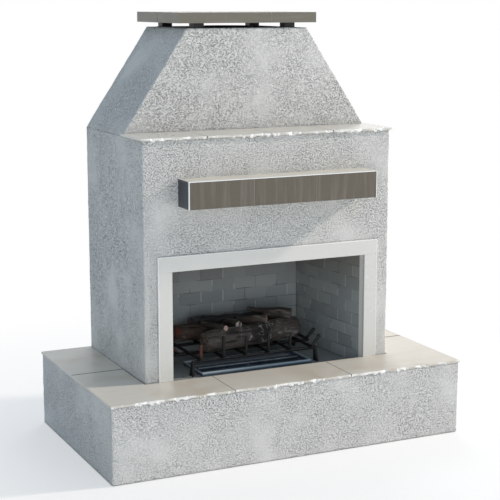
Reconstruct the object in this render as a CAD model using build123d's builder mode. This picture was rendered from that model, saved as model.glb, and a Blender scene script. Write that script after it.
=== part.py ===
from build123d import *
from math import hypot
import os

os.makedirs("parts", exist_ok=True)

# Outdoor fireplace. Millimetres, ground at z = 0, front toward -Y, +X to the right.

# Outside sizes
hearth_wing = 247.4
hearth_depth = 981.3
hearth_top = 349.1
tile_lip = 3.0
body_depth = 730.5
shoulder_top = 1425.0
shoulder_lip = 10.0
hood_depth = 488.0
hood_inset = 4.1
hood_top_width = 603.0
hood_height = 453.6
cap_width = 684.6
cap_overhang = 15.0
cap_gap = 22.9
cap_height = 47.0

# Layers of the walls
render = 6.0
board = 12.7
tile = 9.7
bed = 3.0
tile_joint = 3.2
tile_arris = 0.8
tube = 40.0
tube_wall = 1.5
ground_gap = 4.0
cut_overrun = 20.0
sheet_joint = 0.5

# Firebox and its opening
opening_step = 2.4
opening_setback = 36.85
opening_top = 839.1
firebox_floor_z = 307.4
firebox_front_width = 968.0
firebox_splay = 53.0
firebox_depth = 544.85
side_build = 125.6
firebox_top = 950.0
panel = 32.0
shell = 3.0
floor_gap = 3.0
brick_height = 58.2
brick_length = 118.0
brick_joint = 4.0
brick_joint_depth = 2.5

# Surround and mantel
surround_leg = 66.0
surround_top = 907.8
surround_tile = 16.0
surround_proud = 10.0
trim_width = 3.0
mantel_length = 920.8
mantel_offset_x = 13.5
mantel_bottom = 1124.6
mantel_top = 1245.1
mantel_projection = 122.5

# Widths and faces that follow from the sizes above
body_width = firebox_front_width + 2 * side_build
hearth_width = body_width + 2 * hearth_wing
hood_base_width = body_width - 2 * hood_inset
firebox_back_width = firebox_front_width - 2 * firebox_splay
opening_width = firebox_front_width - 2 * opening_step
surround_width = opening_width + 2 * surround_leg
back_y = (hearth_depth + tile_lip - cap_overhang) / 2
hearth_front_y = back_y - hearth_depth
body_front_y = back_y - body_depth
hood_top = shoulder_top + hood_height
cap_bottom = hood_top + cap_gap
cap_top = cap_bottom + cap_height
firebox_front_y = body_front_y + opening_setback
firebox_back_y = firebox_front_y + firebox_depth
hood_front_y = back_y - hood_depth
flue_y = back_y - hood_depth / 2
hearth_half = hearth_width / 2
body_half = body_width / 2
deck_top = hearth_top - tile - bed
deck_bottom = deck_top - board
bed_top = deck_top + bed
hearth_in_x = hearth_half - render
body_in_x = body_half - render
body_frame_x = body_in_x - board
back_board_y = back_y - render
back_frame_y = back_board_y - board
body_board_y = body_front_y + render
body_frame_y = body_board_y + board
shoulder_board_top = shoulder_top - tile
shoulder_board_bottom = shoulder_board_top - board
opening_half = opening_width / 2


def slab(x_span, y_span, z_span, mode=Mode.ADD):
    """Box between two limits on each axis."""
    spans = (x_span, y_span, z_span)
    with Locations(tuple((low + high) / 2 for low, high in spans)):
        Box(*(high - low for low, high in spans), mode=mode)


def tube_frame(bars):
    """Closed box-section tubes welded together, each given by its limits on the axes."""
    for spans in bars:
        slab(*spans)
    for spans in bars:
        slab(*((low + tube_wall, high - tube_wall) for low, high in spans), mode=Mode.SUBTRACT)


def both_sides(low, high):
    """The same x limits on the right and on the left."""
    return ((low, high), (-high, -low))


# Hearth frame
hearth_frame_x = hearth_in_x - board
hearth_frame_y = (hearth_front_y + render + board, back_frame_y)
bearer_x = 224.0
longitudinal_inset = 38.6
longitudinal_x = body_in_x - longitudinal_inset
bearer_top = firebox_floor_z - panel - shell
front_rail = (hearth_frame_y[0], hearth_frame_y[0] + tube)
back_rail = (hearth_frame_y[1] - tube, hearth_frame_y[1])
between_rails = (front_rail[1], back_rail[0])
low_rail = (0, tube)
high_rail = (deck_bottom - tube, deck_bottom)
upright_z = (tube, deck_bottom - tube)
bearer_z = (bearer_top - tube, bearer_top)
trimmer_y = (body_front_y - tube, body_front_y)
hearth_bars = []
for rail_z in (low_rail, high_rail):
    for rail_y in (front_rail, back_rail):
        hearth_bars.append(((-hearth_frame_x, hearth_frame_x), rail_y, rail_z))
    for rail_x in both_sides(hearth_frame_x - tube, hearth_frame_x):
        hearth_bars.append((rail_x, between_rails, rail_z))
for upright_x in (hearth_frame_x - tube / 2, longitudinal_x, bearer_x):
    for rail_x in both_sides(upright_x - tube / 2, upright_x + tube / 2):
        for rail_y in (front_rail, back_rail):
            hearth_bars.append((rail_x, rail_y, upright_z))
for rail_x in both_sides(longitudinal_x - tube / 2, longitudinal_x + tube / 2):
    hearth_bars.append((rail_x, between_rails, high_rail))
for rail_x in both_sides(bearer_x - tube / 2, bearer_x + tube / 2):
    hearth_bars.append((rail_x, between_rails, bearer_z))
hearth_bars.append(((tube / 2 - longitudinal_x, longitudinal_x - tube / 2), trimmer_y, high_rail))
with BuildPart() as hearth_frame:
    tube_frame(hearth_bars)
hearth_frame.part.label = "hearth_frame"
export_step(hearth_frame.part, "parts/hearth_frame.step")

# Hearth boards
with BuildPart() as hearth_front_board:
    slab((-hearth_in_x, hearth_in_x), (hearth_front_y + render, hearth_frame_y[0]), (0, deck_bottom))
hearth_front_board.part.label = "hearth_front_board"
export_step(hearth_front_board.part, "parts/hearth_front_board.step")

with BuildPart() as hearth_side_boards:
    for board_x in both_sides(hearth_frame_x, hearth_in_x):
        slab(board_x, hearth_frame_y, (0, deck_bottom))
hearth_side_boards.part.label = "hearth_side_boards"
export_step(hearth_side_boards.part, "parts/hearth_side_boards.step")

# Back board of the hearth, with the access opening and two vent openings
door_frame_width = 388.0
door_frame_height = 224.0
door_centre_z = 162.0
vent_width = 280.0
vent_height = 90.0
vent_x = 430.0
vent_z = 162.0
sleeve_fit = 0.25
door_hole_x = door_frame_width / 2 + sleeve_fit
door_hole_half = door_frame_height / 2 + sleeve_fit
door_hole_z = (door_centre_z - door_hole_half, door_centre_z + door_hole_half)
vent_hole_x = (vent_x - vent_width / 2 - sleeve_fit, vent_x + vent_width / 2 + sleeve_fit)
vent_hole_z = (vent_z - vent_height / 2 - sleeve_fit, vent_z + vent_height / 2 + sleeve_fit)
wall_cut_y = (back_frame_y - cut_overrun, back_y + cut_overrun)
flange = 20.0
flange_thickness = 3.0
screw_radius = 2.0
screw_fit = 0.05
screw_length = 21.0
screw_x = door_frame_width / 2 + flange / 2
screw_z = door_frame_height / 2 + flange / 2
door_screw_places = []
for side in (-screw_x, 0, screw_x):
    for rise in (-screw_z, screw_z):
        door_screw_places.append((side, door_centre_z + rise))
vent_screw_places = []
for vent_side in (-vent_x, vent_x):
    for side in (-vent_width / 2 - flange / 2, vent_width / 2 + flange / 2):
        for rise in (-vent_height / 2, vent_height / 2):
            vent_screw_places.append((vent_side + side, vent_z + rise))
screw_places = door_screw_places + vent_screw_places


def along_y(places, radius, y_span, mode=Mode.ADD):
    """Round bars along Y at each place in X and Z."""
    for x, z in places:
        with Locations(Location((x, (y_span[0] + y_span[1]) / 2, z), (90, 0, 0))):
            Cylinder(radius, y_span[1] - y_span[0], mode=mode)


screw_y = (back_y + flange_thickness - screw_length, back_y + flange_thickness)
pilot_y = (screw_y[0] - screw_fit, back_y + cut_overrun)
with BuildPart() as hearth_back_board:
    slab((-hearth_in_x, hearth_in_x), (back_frame_y, back_board_y), (0, deck_bottom))
    slab((-door_hole_x, door_hole_x), wall_cut_y, door_hole_z, mode=Mode.SUBTRACT)
    for hole_x in both_sides(*vent_hole_x):
        slab(hole_x, wall_cut_y, vent_hole_z, mode=Mode.SUBTRACT)
    along_y(screw_places, screw_radius + screw_fit, pilot_y, mode=Mode.SUBTRACT)
hearth_back_board.part.label = "hearth_back_board"
export_step(hearth_back_board.part, "parts/hearth_back_board.step")

# Deck board, cut out round the firebox
deck_gap = 3.0
deck_cut_front_y = body_board_y + deck_gap
deck_cut_x = firebox_front_width / 2 + panel + shell + deck_gap
deck_cut_wide_y = firebox_front_y - shell - deck_gap
deck_cut_back_y = firebox_back_y + panel + shell + deck_gap
deck_cut_z = (deck_bottom - cut_overrun, hearth_top + cut_overrun)
with BuildPart() as hearth_deck_board:
    slab((-hearth_in_x, hearth_in_x), (hearth_front_y + render, back_board_y), (deck_bottom, deck_top))
    slab((-opening_half, opening_half), (deck_cut_front_y, flue_y), deck_cut_z, mode=Mode.SUBTRACT)
    slab((-deck_cut_x, deck_cut_x), (deck_cut_wide_y, deck_cut_back_y), deck_cut_z, mode=Mode.SUBTRACT)
hearth_deck_board.part.label = "hearth_deck_board"
export_step(hearth_deck_board.part, "parts/hearth_deck_board.step")

# Hearth render, a skin on all four walls
render_corner = 4.0
with BuildPart() as hearth_stucco:
    slab((-hearth_half, hearth_half), (hearth_front_y, back_y), (ground_gap, bed_top))
    fillet(hearth_stucco.edges().filter_by(Axis.Z), radius=render_corner)
    slab(
        (-hearth_in_x, hearth_in_x),
        (hearth_front_y + render, back_board_y),
        (-cut_overrun, hearth_top),
        mode=Mode.SUBTRACT,
    )
    slab((-door_hole_x, door_hole_x), wall_cut_y, door_hole_z, mode=Mode.SUBTRACT)
    for hole_x in both_sides(*vent_hole_x):
        slab(hole_x, wall_cut_y, vent_hole_z, mode=Mode.SUBTRACT)
    along_y(screw_places, screw_radius + screw_fit, pilot_y, mode=Mode.SUBTRACT)
hearth_stucco.part.label = "hearth_stucco"
export_step(hearth_stucco.part, "parts/hearth_stucco.step")

# Hearth tiles: three in the front row, the outer two cut round the body, one on each wing
row_joint_left_x = -294.0
row_joint_right_x = 282.0
wing_joint_setback = 274.75
wing_joint_y = body_front_y + wing_joint_setback
body_tile_gap = 3.0
tile_x = hearth_half + tile_lip
tile_front_y = hearth_front_y - tile_lip
tile_back_y = back_y + tile_lip
half_joint = tile_joint / 2
tile_z = (bed_top, hearth_top)
with BuildPart() as hearth_tiles:
    slab(
        (row_joint_left_x + half_joint, row_joint_right_x - half_joint),
        (tile_front_y, body_front_y),
        tile_z,
    )
    slab((-tile_x, row_joint_left_x - half_joint), (tile_front_y, wing_joint_y - half_joint), tile_z)
    slab((row_joint_right_x + half_joint, tile_x), (tile_front_y, wing_joint_y - half_joint), tile_z)
    for wing_x in both_sides(body_half + body_tile_gap, tile_x):
        slab(wing_x, (wing_joint_y + half_joint, tile_back_y), tile_z)
    slab(
        (-body_half - body_tile_gap, body_half + body_tile_gap),
        (body_front_y, back_y + cut_overrun),
        (deck_top, hearth_top + cut_overrun),
        mode=Mode.SUBTRACT,
    )
    for leg_x in both_sides(opening_half, body_half + body_tile_gap):
        slab(
            leg_x,
            (body_front_y - body_tile_gap, body_front_y + cut_overrun),
            (deck_top, hearth_top + cut_overrun),
            mode=Mode.SUBTRACT,
        )
    chamfer(hearth_tiles.faces().group_by(Axis.Z)[-1].edges(), length=tile_arris)
hearth_tiles.part.label = "hearth_tiles"
export_step(hearth_tiles.part, "parts/hearth_tiles.step")

# Bed and joints of the hearth tiles, cut out where the body stands
joint_drop = 1.0
joint_z = (bed_top, hearth_top - joint_drop)
with BuildPart() as hearth_grout:
    slab((-hearth_in_x, hearth_in_x), (hearth_front_y + render, back_board_y), (deck_top, bed_top))
    for joint_x in (row_joint_left_x, row_joint_right_x):
        slab((joint_x - half_joint, joint_x + half_joint), (hearth_front_y, body_front_y), joint_z)
    for wing_x in both_sides(body_half, hearth_half):
        slab(wing_x, (wing_joint_y - half_joint, wing_joint_y + half_joint), joint_z)
    for wing_x in both_sides(body_half, body_half + body_tile_gap):
        slab(wing_x, (body_front_y - body_tile_gap, back_y), joint_z)
    for leg_x in both_sides(opening_half, body_half):
        slab(leg_x, (body_front_y - body_tile_gap, body_front_y), joint_z)
    slab(
        (-body_in_x, body_in_x),
        (body_board_y, back_y + cut_overrun),
        (-cut_overrun, hearth_top + cut_overrun),
        mode=Mode.SUBTRACT,
    )
hearth_grout.part.label = "hearth_grout"
export_step(hearth_grout.part, "parts/hearth_grout.step")

# Body frame, standing on the deck
mantel_rail_z = 1185.0
header_z = 1012.0
body_bottom_rail = (deck_top, deck_top + tube)
body_top_rail = (shoulder_board_bottom - tube, shoulder_board_bottom)
body_front_rail = (body_frame_y, body_frame_y + tube)
between_body_rails = (body_front_rail[1], back_rail[0])
corner_x = (body_frame_x - tube, body_frame_x)
body_bars = []
for rail_y in (body_front_rail, back_rail):
    body_bars.append(((-body_frame_x, body_frame_x), rail_y, body_top_rail))
    for rail_x in both_sides(*corner_x):
        body_bars.append((rail_x, rail_y, (deck_top, shoulder_board_bottom - tube)))
for rail_z in (body_bottom_rail, body_top_rail):
    for rail_x in both_sides(*corner_x):
        body_bars.append((rail_x, between_body_rails, rail_z))
for rail_centre_z in (header_z, mantel_rail_z):
    rail_z = (rail_centre_z - tube / 2, rail_centre_z + tube / 2)
    body_bars.append(((-corner_x[0], corner_x[0]), body_front_rail, rail_z))
body_bars.append(((-corner_x[0], corner_x[0]), back_rail, body_bottom_rail))
with BuildPart() as body_frame:
    tube_frame(body_bars)
body_frame.part.label = "body_frame"
export_step(body_frame.part, "parts/body_frame.step")

# Body boards; the front one is two legs and a head sheet round the opening
lining = 10.0
board_opening_x = opening_half + lining
board_opening_z = opening_top + lining
body_front_board_y = (body_board_y, body_frame_y)
with BuildPart() as body_front_board:
    for leg_x in both_sides(board_opening_x, body_in_x):
        slab(leg_x, body_front_board_y, (deck_top, board_opening_z - sheet_joint))
    slab((-body_in_x, body_in_x), body_front_board_y, (board_opening_z, shoulder_board_bottom))
body_front_board.part.label = "body_front_board"
export_step(body_front_board.part, "parts/body_front_board.step")

with BuildPart() as body_side_boards:
    for board_x in both_sides(body_frame_x, body_in_x):
        slab(board_x, (body_frame_y, back_frame_y), (deck_top, shoulder_board_bottom))
body_side_boards.part.label = "body_side_boards"
export_step(body_side_boards.part, "parts/body_side_boards.step")

with BuildPart() as body_back_board:
    slab((-body_in_x, body_in_x), (back_frame_y, back_board_y), (deck_top, shoulder_board_bottom))
body_back_board.part.label = "body_back_board"
export_step(body_back_board.part, "parts/body_back_board.step")

# Body render, cut out round the surround
surround_half = surround_width / 2
surround_y = (body_front_y - surround_proud, body_front_y - surround_proud + surround_tile)
with BuildPart() as body_stucco:
    slab((-body_half, body_half), (body_front_y, back_y), (bed_top, shoulder_board_top))
    fillet(body_stucco.edges().filter_by(Axis.Z), radius=render_corner)
    slab(
        (-body_in_x, body_in_x),
        (body_board_y, back_board_y),
        (-cut_overrun, shoulder_top),
        mode=Mode.SUBTRACT,
    )
    slab(
        (-surround_half, surround_half),
        (body_front_y - cut_overrun, body_board_y + cut_overrun),
        (-cut_overrun, surround_top),
        mode=Mode.SUBTRACT,
    )
body_stucco.part.label = "body_stucco"
export_step(body_stucco.part, "parts/body_stucco.step")

# Shoulder board, with a clearance hole for the flue
flue_radius = 127.0
flue_wall = 2.0
flue_clearance = 13.0
with BuildPart() as shoulder_board:
    slab(
        (-body_in_x, body_in_x),
        (body_board_y, back_board_y),
        (shoulder_board_bottom, shoulder_board_top),
    )
    with Locations((0, flue_y, shoulder_board_top)):
        Hole(flue_radius + flue_clearance)
shoulder_board.part.label = "shoulder_board"
export_step(shoulder_board.part, "parts/shoulder_board.step")

# Ledge tiles in front of the hood
ledge_count = 4
ledge_half = body_half + shoulder_lip
ledge_tile = (2 * ledge_half - (ledge_count - 1) * tile_joint) / ledge_count
with BuildPart() as shoulder_tiles:
    for index in range(ledge_count):
        ledge_x = -ledge_half + index * (ledge_tile + tile_joint)
        slab(
            (ledge_x, ledge_x + ledge_tile),
            (body_front_y - shoulder_lip, hood_front_y - tile_joint),
            (shoulder_board_top, shoulder_top),
        )
    chamfer(shoulder_tiles.faces().group_by(Axis.Z)[-1].edges(), length=tile_arris)
shoulder_tiles.part.label = "shoulder_tiles"
export_step(shoulder_tiles.part, "parts/shoulder_tiles.step")

# Folded lintel behind the head of the opening
lintel_leg = 65.0
lintel_sheet = 3.0
lintel_y = (body_frame_y, firebox_front_y - shell)
with BuildPart() as lintel_angle:
    slab(
        (-corner_x[0], corner_x[0]),
        (lintel_y[0], lintel_y[0] + lintel_sheet),
        (board_opening_z, board_opening_z + lintel_leg),
    )
    slab(
        (-corner_x[0], corner_x[0]),
        lintel_y,
        (board_opening_z, board_opening_z + lintel_sheet),
    )
lintel_angle.part.label = "lintel_angle"
export_step(lintel_angle.part, "parts/lintel_angle.step")

# Surround: head and leg tiles inside a narrow edge trim
surround_tile_x = surround_half - trim_width
surround_tile_top = surround_top - trim_width
surround_arris = 1.0
with BuildPart() as surround_head:
    slab((-surround_tile_x, surround_tile_x), surround_y, (opening_top, surround_tile_top))
    chamfer(surround_head.faces().sort_by(Axis.Y)[0].edges(), length=surround_arris)
surround_head.part.label = "surround_head"
export_step(surround_head.part, "parts/surround_head.step")

with BuildPart() as surround_legs:
    for leg_x in both_sides(opening_half, surround_tile_x):
        slab(leg_x, surround_y, (hearth_top, opening_top))
    chamfer(surround_legs.faces().group_by(Axis.Y)[0].edges(), length=surround_arris)
surround_legs.part.label = "surround_legs"
export_step(surround_legs.part, "parts/surround_legs.step")

with BuildPart() as surround_trim:
    for trim_x in both_sides(surround_tile_x, surround_half):
        slab(trim_x, surround_y, (hearth_top, surround_tile_top))
    slab((-surround_half, surround_half), surround_y, (surround_tile_top, surround_top))
surround_trim.part.label = "surround_trim"
export_step(surround_trim.part, "parts/surround_trim.step")

# Linings of the opening, from the back of the surround to the firebox
lining_y = (surround_y[1], firebox_front_y)
with BuildPart() as jamb_linings:
    for leg_x in both_sides(opening_half, board_opening_x):
        slab(leg_x, lining_y, (deck_top, opening_top - sheet_joint))
    slab((-board_opening_x, board_opening_x), lining_y, (opening_top, board_opening_z))
jamb_linings.part.label = "jamb_linings"
export_step(jamb_linings.part, "parts/jamb_linings.step")

# Mantel: box core, front tiles, top and end tiles, edge trim
mantel_board = 12.7
mantel_left = mantel_offset_x - mantel_length / 2
mantel_right = mantel_offset_x + mantel_length / 2
mantel_front_y = body_front_y - mantel_projection
mantel_tile_y = (mantel_front_y, mantel_front_y + tile)
mantel_return_y = (mantel_front_y + tile, body_front_y)
with BuildPart() as mantel_core:
    slab((mantel_left + tile, mantel_right - tile), mantel_return_y, (mantel_bottom, mantel_top - tile))
    slab(
        (mantel_left + tile + mantel_board, mantel_right - tile - mantel_board),
        (mantel_front_y + tile + mantel_board, body_front_y + cut_overrun),
        (mantel_bottom + mantel_board, mantel_top - tile - mantel_board),
        mode=Mode.SUBTRACT,
    )
mantel_core.part.label = "mantel_core"
export_step(mantel_core.part, "parts/mantel_core.step")

mantel_tile_count = 3
mantel_tile_run = mantel_length - 2 * trim_width
mantel_tile = (mantel_tile_run - (mantel_tile_count - 1) * tile_joint) / mantel_tile_count
with BuildPart() as mantel_front_tiles:
    for index in range(mantel_tile_count):
        tile_left = mantel_left + trim_width + index * (mantel_tile + tile_joint)
        slab((tile_left, tile_left + mantel_tile), mantel_tile_y, (mantel_bottom, mantel_top - trim_width))
    chamfer(mantel_front_tiles.faces().group_by(Axis.Y)[0].edges(), length=tile_arris)
mantel_front_tiles.part.label = "mantel_front_tiles"
export_step(mantel_front_tiles.part, "parts/mantel_front_tiles.step")

with BuildPart() as mantel_return_tiles:
    slab(
        (mantel_left + tile + sheet_joint, mantel_right - tile - sheet_joint),
        mantel_return_y,
        (mantel_top - tile, mantel_top),
    )
    slab((mantel_left, mantel_left + tile), mantel_return_y, (mantel_bottom, mantel_top))
    slab((mantel_right - tile, mantel_right), mantel_return_y, (mantel_bottom, mantel_top))
mantel_return_tiles.part.label = "mantel_return_tiles"
export_step(mantel_return_tiles.part, "parts/mantel_return_tiles.step")

with BuildPart() as mantel_trim:
    slab((mantel_left, mantel_right), mantel_tile_y, (mantel_top - trim_width, mantel_top))
    slab((mantel_left, mantel_left + trim_width), mantel_tile_y, (mantel_bottom, mantel_top - trim_width))
    slab((mantel_right - trim_width, mantel_right), mantel_tile_y, (mantel_bottom, mantel_top - trim_width))
mantel_trim.part.label = "mantel_trim"
export_step(mantel_trim.part, "parts/mantel_trim.step")

# Burner and gas line places, shared by the firebox floor
burner_setback = 201.0
burner_y = firebox_front_y + burner_setback
gas_hole_radius = 14.0


def firebox_half(y, outward=0):
    """Half width of the splayed firebox at depth y, moved outward by a thickness."""
    run = (y - firebox_front_y) / (firebox_back_y - firebox_front_y)
    return (firebox_front_width + (firebox_back_width - firebox_front_width) * run) / 2 + outward


def firebox_plan(front_y, rear_y, outward):
    """Corners of the firebox plan between two depths, moved outward by a thickness."""
    return (
        (-firebox_half(front_y, outward), front_y),
        (firebox_half(front_y, outward), front_y),
        (firebox_half(rear_y, outward), rear_y),
        (-firebox_half(rear_y, outward), rear_y),
    )


# Firebox shell: folded steel floor, back, sides and front frame
shell_bottom = firebox_floor_z - panel - shell
panel_rear_y = firebox_back_y + panel
shell_front_y = firebox_front_y - shell
shell_rear_y = panel_rear_y + shell
tongue_x = opening_half - floor_gap
tongue_y = (deck_cut_front_y + floor_gap, firebox_front_y)
lining_fit = 0.3
with BuildPart() as firebox_shell:
    with BuildSketch(Plane.XY.offset(shell_bottom)):
        Polygon(*firebox_plan(shell_front_y, shell_rear_y, panel + shell), align=None)
    extrude(amount=firebox_top - shell_bottom)
    with BuildSketch(Plane.XY.offset(shell_bottom + shell)):
        Polygon(*firebox_plan(firebox_front_y, panel_rear_y, panel), align=None)
    extrude(amount=firebox_top, mode=Mode.SUBTRACT)
    slab(
        (-board_opening_x - lining_fit, board_opening_x + lining_fit),
        (shell_front_y - cut_overrun, firebox_front_y),
        (shell_bottom + shell, board_opening_z + lining_fit),
        mode=Mode.SUBTRACT,
    )
    slab((-tongue_x, tongue_x), tongue_y, (shell_bottom, shell_bottom + shell))
    with Locations((0, burner_y, shell_bottom + shell)):
        Hole(gas_hole_radius)
firebox_shell.part.label = "firebox_shell"
export_step(firebox_shell.part, "parts/firebox_shell.step")

# Cast floor panel, with a tongue out to the hearth tiles
with BuildPart() as firebox_floor_panel:
    with BuildSketch(Plane.XY.offset(shell_bottom + shell)):
        Polygon(*firebox_plan(firebox_front_y, panel_rear_y, panel), align=None)
        with Locations((0, (tongue_y[0] + tongue_y[1]) / 2)):
            Rectangle(2 * tongue_x, tongue_y[1] - tongue_y[0])
    extrude(amount=panel)
    with Locations((0, burner_y, firebox_floor_z)):
        Hole(gas_hole_radius)
firebox_floor_panel.part.label = "firebox_floor_panel"
export_step(firebox_floor_panel.part, "parts/firebox_floor_panel.step")


def brick_joints(face, run, first_even, first_odd):
    """Grooves of a running bond on a cast panel, cut inward from its face."""
    height = firebox_top - firebox_floor_z
    rows = int(height / brick_height) + 1
    with BuildPart() as grooves:
        with BuildSketch(face):
            for row in range(1, rows):
                with Locations(((run[0] + run[1]) / 2, row * brick_height)):
                    Rectangle(run[1] - run[0], brick_joint)
            for row in range(rows):
                along = first_odd if row % 2 else first_even
                while along - brick_length > run[0]:
                    along -= brick_length
                while along < run[1]:
                    if along > run[0]:
                        with Locations((along, (row + half_share) * brick_height)):
                            Rectangle(brick_joint, brick_height)
                    along += brick_length
        extrude(amount=-brick_joint_depth)
    return grooves.part


# Cast back panel
half_share = 1 / 2
back_first_even = 25.5
back_first_odd = -33.0
back_panel_half = firebox_half(firebox_back_y, 0)
back_face = Plane(origin=(0, firebox_back_y, firebox_floor_z), x_dir=(1, 0, 0), z_dir=(0, -1, 0))
back_joints = brick_joints(back_face, (-back_panel_half, back_panel_half), back_first_even, back_first_odd)
with BuildPart() as firebox_back_panel:
    with BuildSketch(Plane.XY.offset(firebox_floor_z)):
        Polygon(*firebox_plan(firebox_back_y, panel_rear_y, 0), align=None)
    extrude(amount=firebox_top - firebox_floor_z)
    add(back_joints, mode=Mode.SUBTRACT)
firebox_back_panel.part.label = "firebox_back_panel"
export_step(firebox_back_panel.part, "parts/firebox_back_panel.step")

# Cast side panels, splayed
side_first_even = 77.0
side_first_odd = 15.0
side_run = hypot(
    firebox_half(firebox_front_y) - firebox_half(firebox_back_y),
    firebox_back_y - firebox_front_y,
)
side_along = Vector(
    firebox_half(firebox_front_y) - firebox_half(firebox_back_y),
    firebox_front_y - firebox_back_y,
    0,
)
side_face = Plane(
    origin=(firebox_half(firebox_back_y), firebox_back_y, firebox_floor_z),
    x_dir=side_along,
    z_dir=side_along.cross(Vector(0, 0, 1)),
)
side_joints = brick_joints(side_face, (0, side_run), side_first_even, side_first_odd)
with BuildPart() as firebox_side_panels:
    with BuildSketch(Plane.XY.offset(firebox_floor_z)):
        Polygon(
            (firebox_half(firebox_front_y), firebox_front_y),
            (firebox_half(firebox_front_y, panel), firebox_front_y),
            (firebox_half(panel_rear_y, panel), panel_rear_y),
            (firebox_half(panel_rear_y), panel_rear_y),
            align=None,
        )
    extrude(amount=firebox_top - firebox_floor_z)
    add(side_joints, mode=Mode.SUBTRACT)
    mirror(about=Plane.YZ)
firebox_side_panels.part.label = "firebox_side_panels"
export_step(firebox_side_panels.part, "parts/firebox_side_panels.step")

# Smoke dome: tapered steel hood with a round collar
dome_top = 1300.0
dome_half = 136.0
dome_plate = 4.0
dome_collar = 60.0
flue_inner = flue_radius - flue_wall
collar_radius = flue_inner - sleeve_fit
with BuildPart() as smoke_dome:
    with BuildSketch(Plane.XY.offset(firebox_top)):
        Polygon(*firebox_plan(shell_front_y, shell_rear_y, panel + shell), align=None)
    with BuildSketch(Plane.XY.offset(dome_top)):
        with Locations((0, flue_y)):
            Rectangle(2 * dome_half, 2 * dome_half)
    loft(ruled=True)
    with BuildSketch(Plane.XY.offset(firebox_top)):
        Polygon(*firebox_plan(firebox_front_y, panel_rear_y, panel), align=None)
    with BuildSketch(Plane.XY.offset(dome_top)):
        with Locations((0, flue_y)):
            Rectangle(2 * (dome_half - shell), 2 * (dome_half - shell))
    loft(ruled=True, mode=Mode.SUBTRACT)
    slab(
        (-dome_half, dome_half),
        (flue_y - dome_half, flue_y + dome_half),
        (dome_top, dome_top + dome_plate),
    )
    with BuildSketch(Plane.XY.offset(dome_top + dome_plate)):
        with Locations((0, flue_y)):
            Circle(collar_radius)
    extrude(amount=dome_collar)
    with Locations((0, flue_y, dome_top + dome_plate + dome_collar)):
        Hole(collar_radius - flue_wall, depth=dome_collar + cut_overrun)
smoke_dome.part.label = "smoke_dome"
export_step(smoke_dome.part, "parts/smoke_dome.step")

# Flue pipe, from the dome to just above the top plate
plate_proud = 2.0
flue_proud = 4.0
plate_top = hood_top + plate_proud
with BuildPart() as flue_pipe:
    with BuildSketch(Plane.XY.offset(dome_top + dome_plate)):
        with Locations((0, flue_y)):
            Circle(flue_radius)
            Circle(flue_inner, mode=Mode.SUBTRACT)
    extrude(amount=plate_top + flue_proud - dome_top - dome_plate)
flue_pipe.part.label = "flue_pipe"
export_step(flue_pipe.part, "parts/flue_pipe.step")

# Hood slope: the half width shrinks by this much for each millimetre of height
hood_base_half = hood_base_width / 2
hood_top_half = hood_top_width / 2
hood_slope = (hood_base_half - hood_top_half) / (hood_top - shoulder_top)
hood_skew = hypot(1, hood_slope)


def hood_half(z, inset):
    """Half width of the hood at height z, moved in square to the slope by an inset."""
    return hood_base_half - hood_slope * (z - shoulder_top) - inset * hood_skew


def hood_edge(inset, low, high):
    """Right edge of the hood profile: a short upright kerb, then the slope."""
    kink = shoulder_top - inset * (hood_skew - 1) / hood_slope
    return ((hood_base_half - inset, low), (hood_base_half - inset, kink), (hood_half(high, inset), high))


def hood_outline(inset, low, high):
    """Whole hood profile in X and Z."""
    right = hood_edge(inset, low, high)
    left = tuple((-x, z) for x, z in reversed(right))
    return right + left


def hood_prism(inset, y_span, z_span, mode=Mode.ADD):
    """Solid with the hood profile between two depths and two heights."""
    with BuildPart() as prism:
        with BuildSketch(Plane.XZ.offset(-y_span[0])):
            Polygon(*hood_outline(inset, *z_span), align=None)
        extrude(amount=y_span[0] - y_span[1])
    add(prism.part, mode=mode)


def hood_band(insets, y_span, z_span, mode=Mode.ADD):
    """Two sloping sides of the hood profile, between an outer and an inner inset."""
    with BuildPart() as band:
        hood_prism(insets[0], y_span, z_span)
        hood_prism(insets[1], y_span, z_span, mode=Mode.SUBTRACT)
    add(band.part, mode=mode)


# Hood boards
hood_board_top = hood_top - render
hood_wall_top = hood_board_top - board
hood_wall_z = (shoulder_board_top, hood_wall_top)
hood_board_y = hood_front_y + render
hood_frame_y = hood_board_y + board
with BuildPart() as hood_front_back_boards:
    hood_prism(render, (hood_board_y, hood_frame_y), hood_wall_z)
    hood_prism(render, (back_frame_y, back_board_y), hood_wall_z)
hood_front_back_boards.part.label = "hood_front_back_boards"
export_step(hood_front_back_boards.part, "parts/hood_front_back_boards.step")

with BuildPart() as hood_side_boards:
    hood_band((render, render + board), (hood_frame_y, back_frame_y), hood_wall_z)
hood_side_boards.part.label = "hood_side_boards"
export_step(hood_side_boards.part, "parts/hood_side_boards.step")

top_board_fit = 0.5
with BuildPart() as hood_top_board:
    slab(
        (-hood_half(hood_board_top, render), hood_half(hood_board_top, render)),
        (hood_board_y, back_board_y),
        (hood_wall_top, hood_board_top),
    )
    with Locations((0, flue_y, hood_board_top)):
        Hole(flue_radius + top_board_fit)
hood_top_board.part.label = "hood_top_board"
export_step(hood_top_board.part, "parts/hood_top_board.step")

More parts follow.
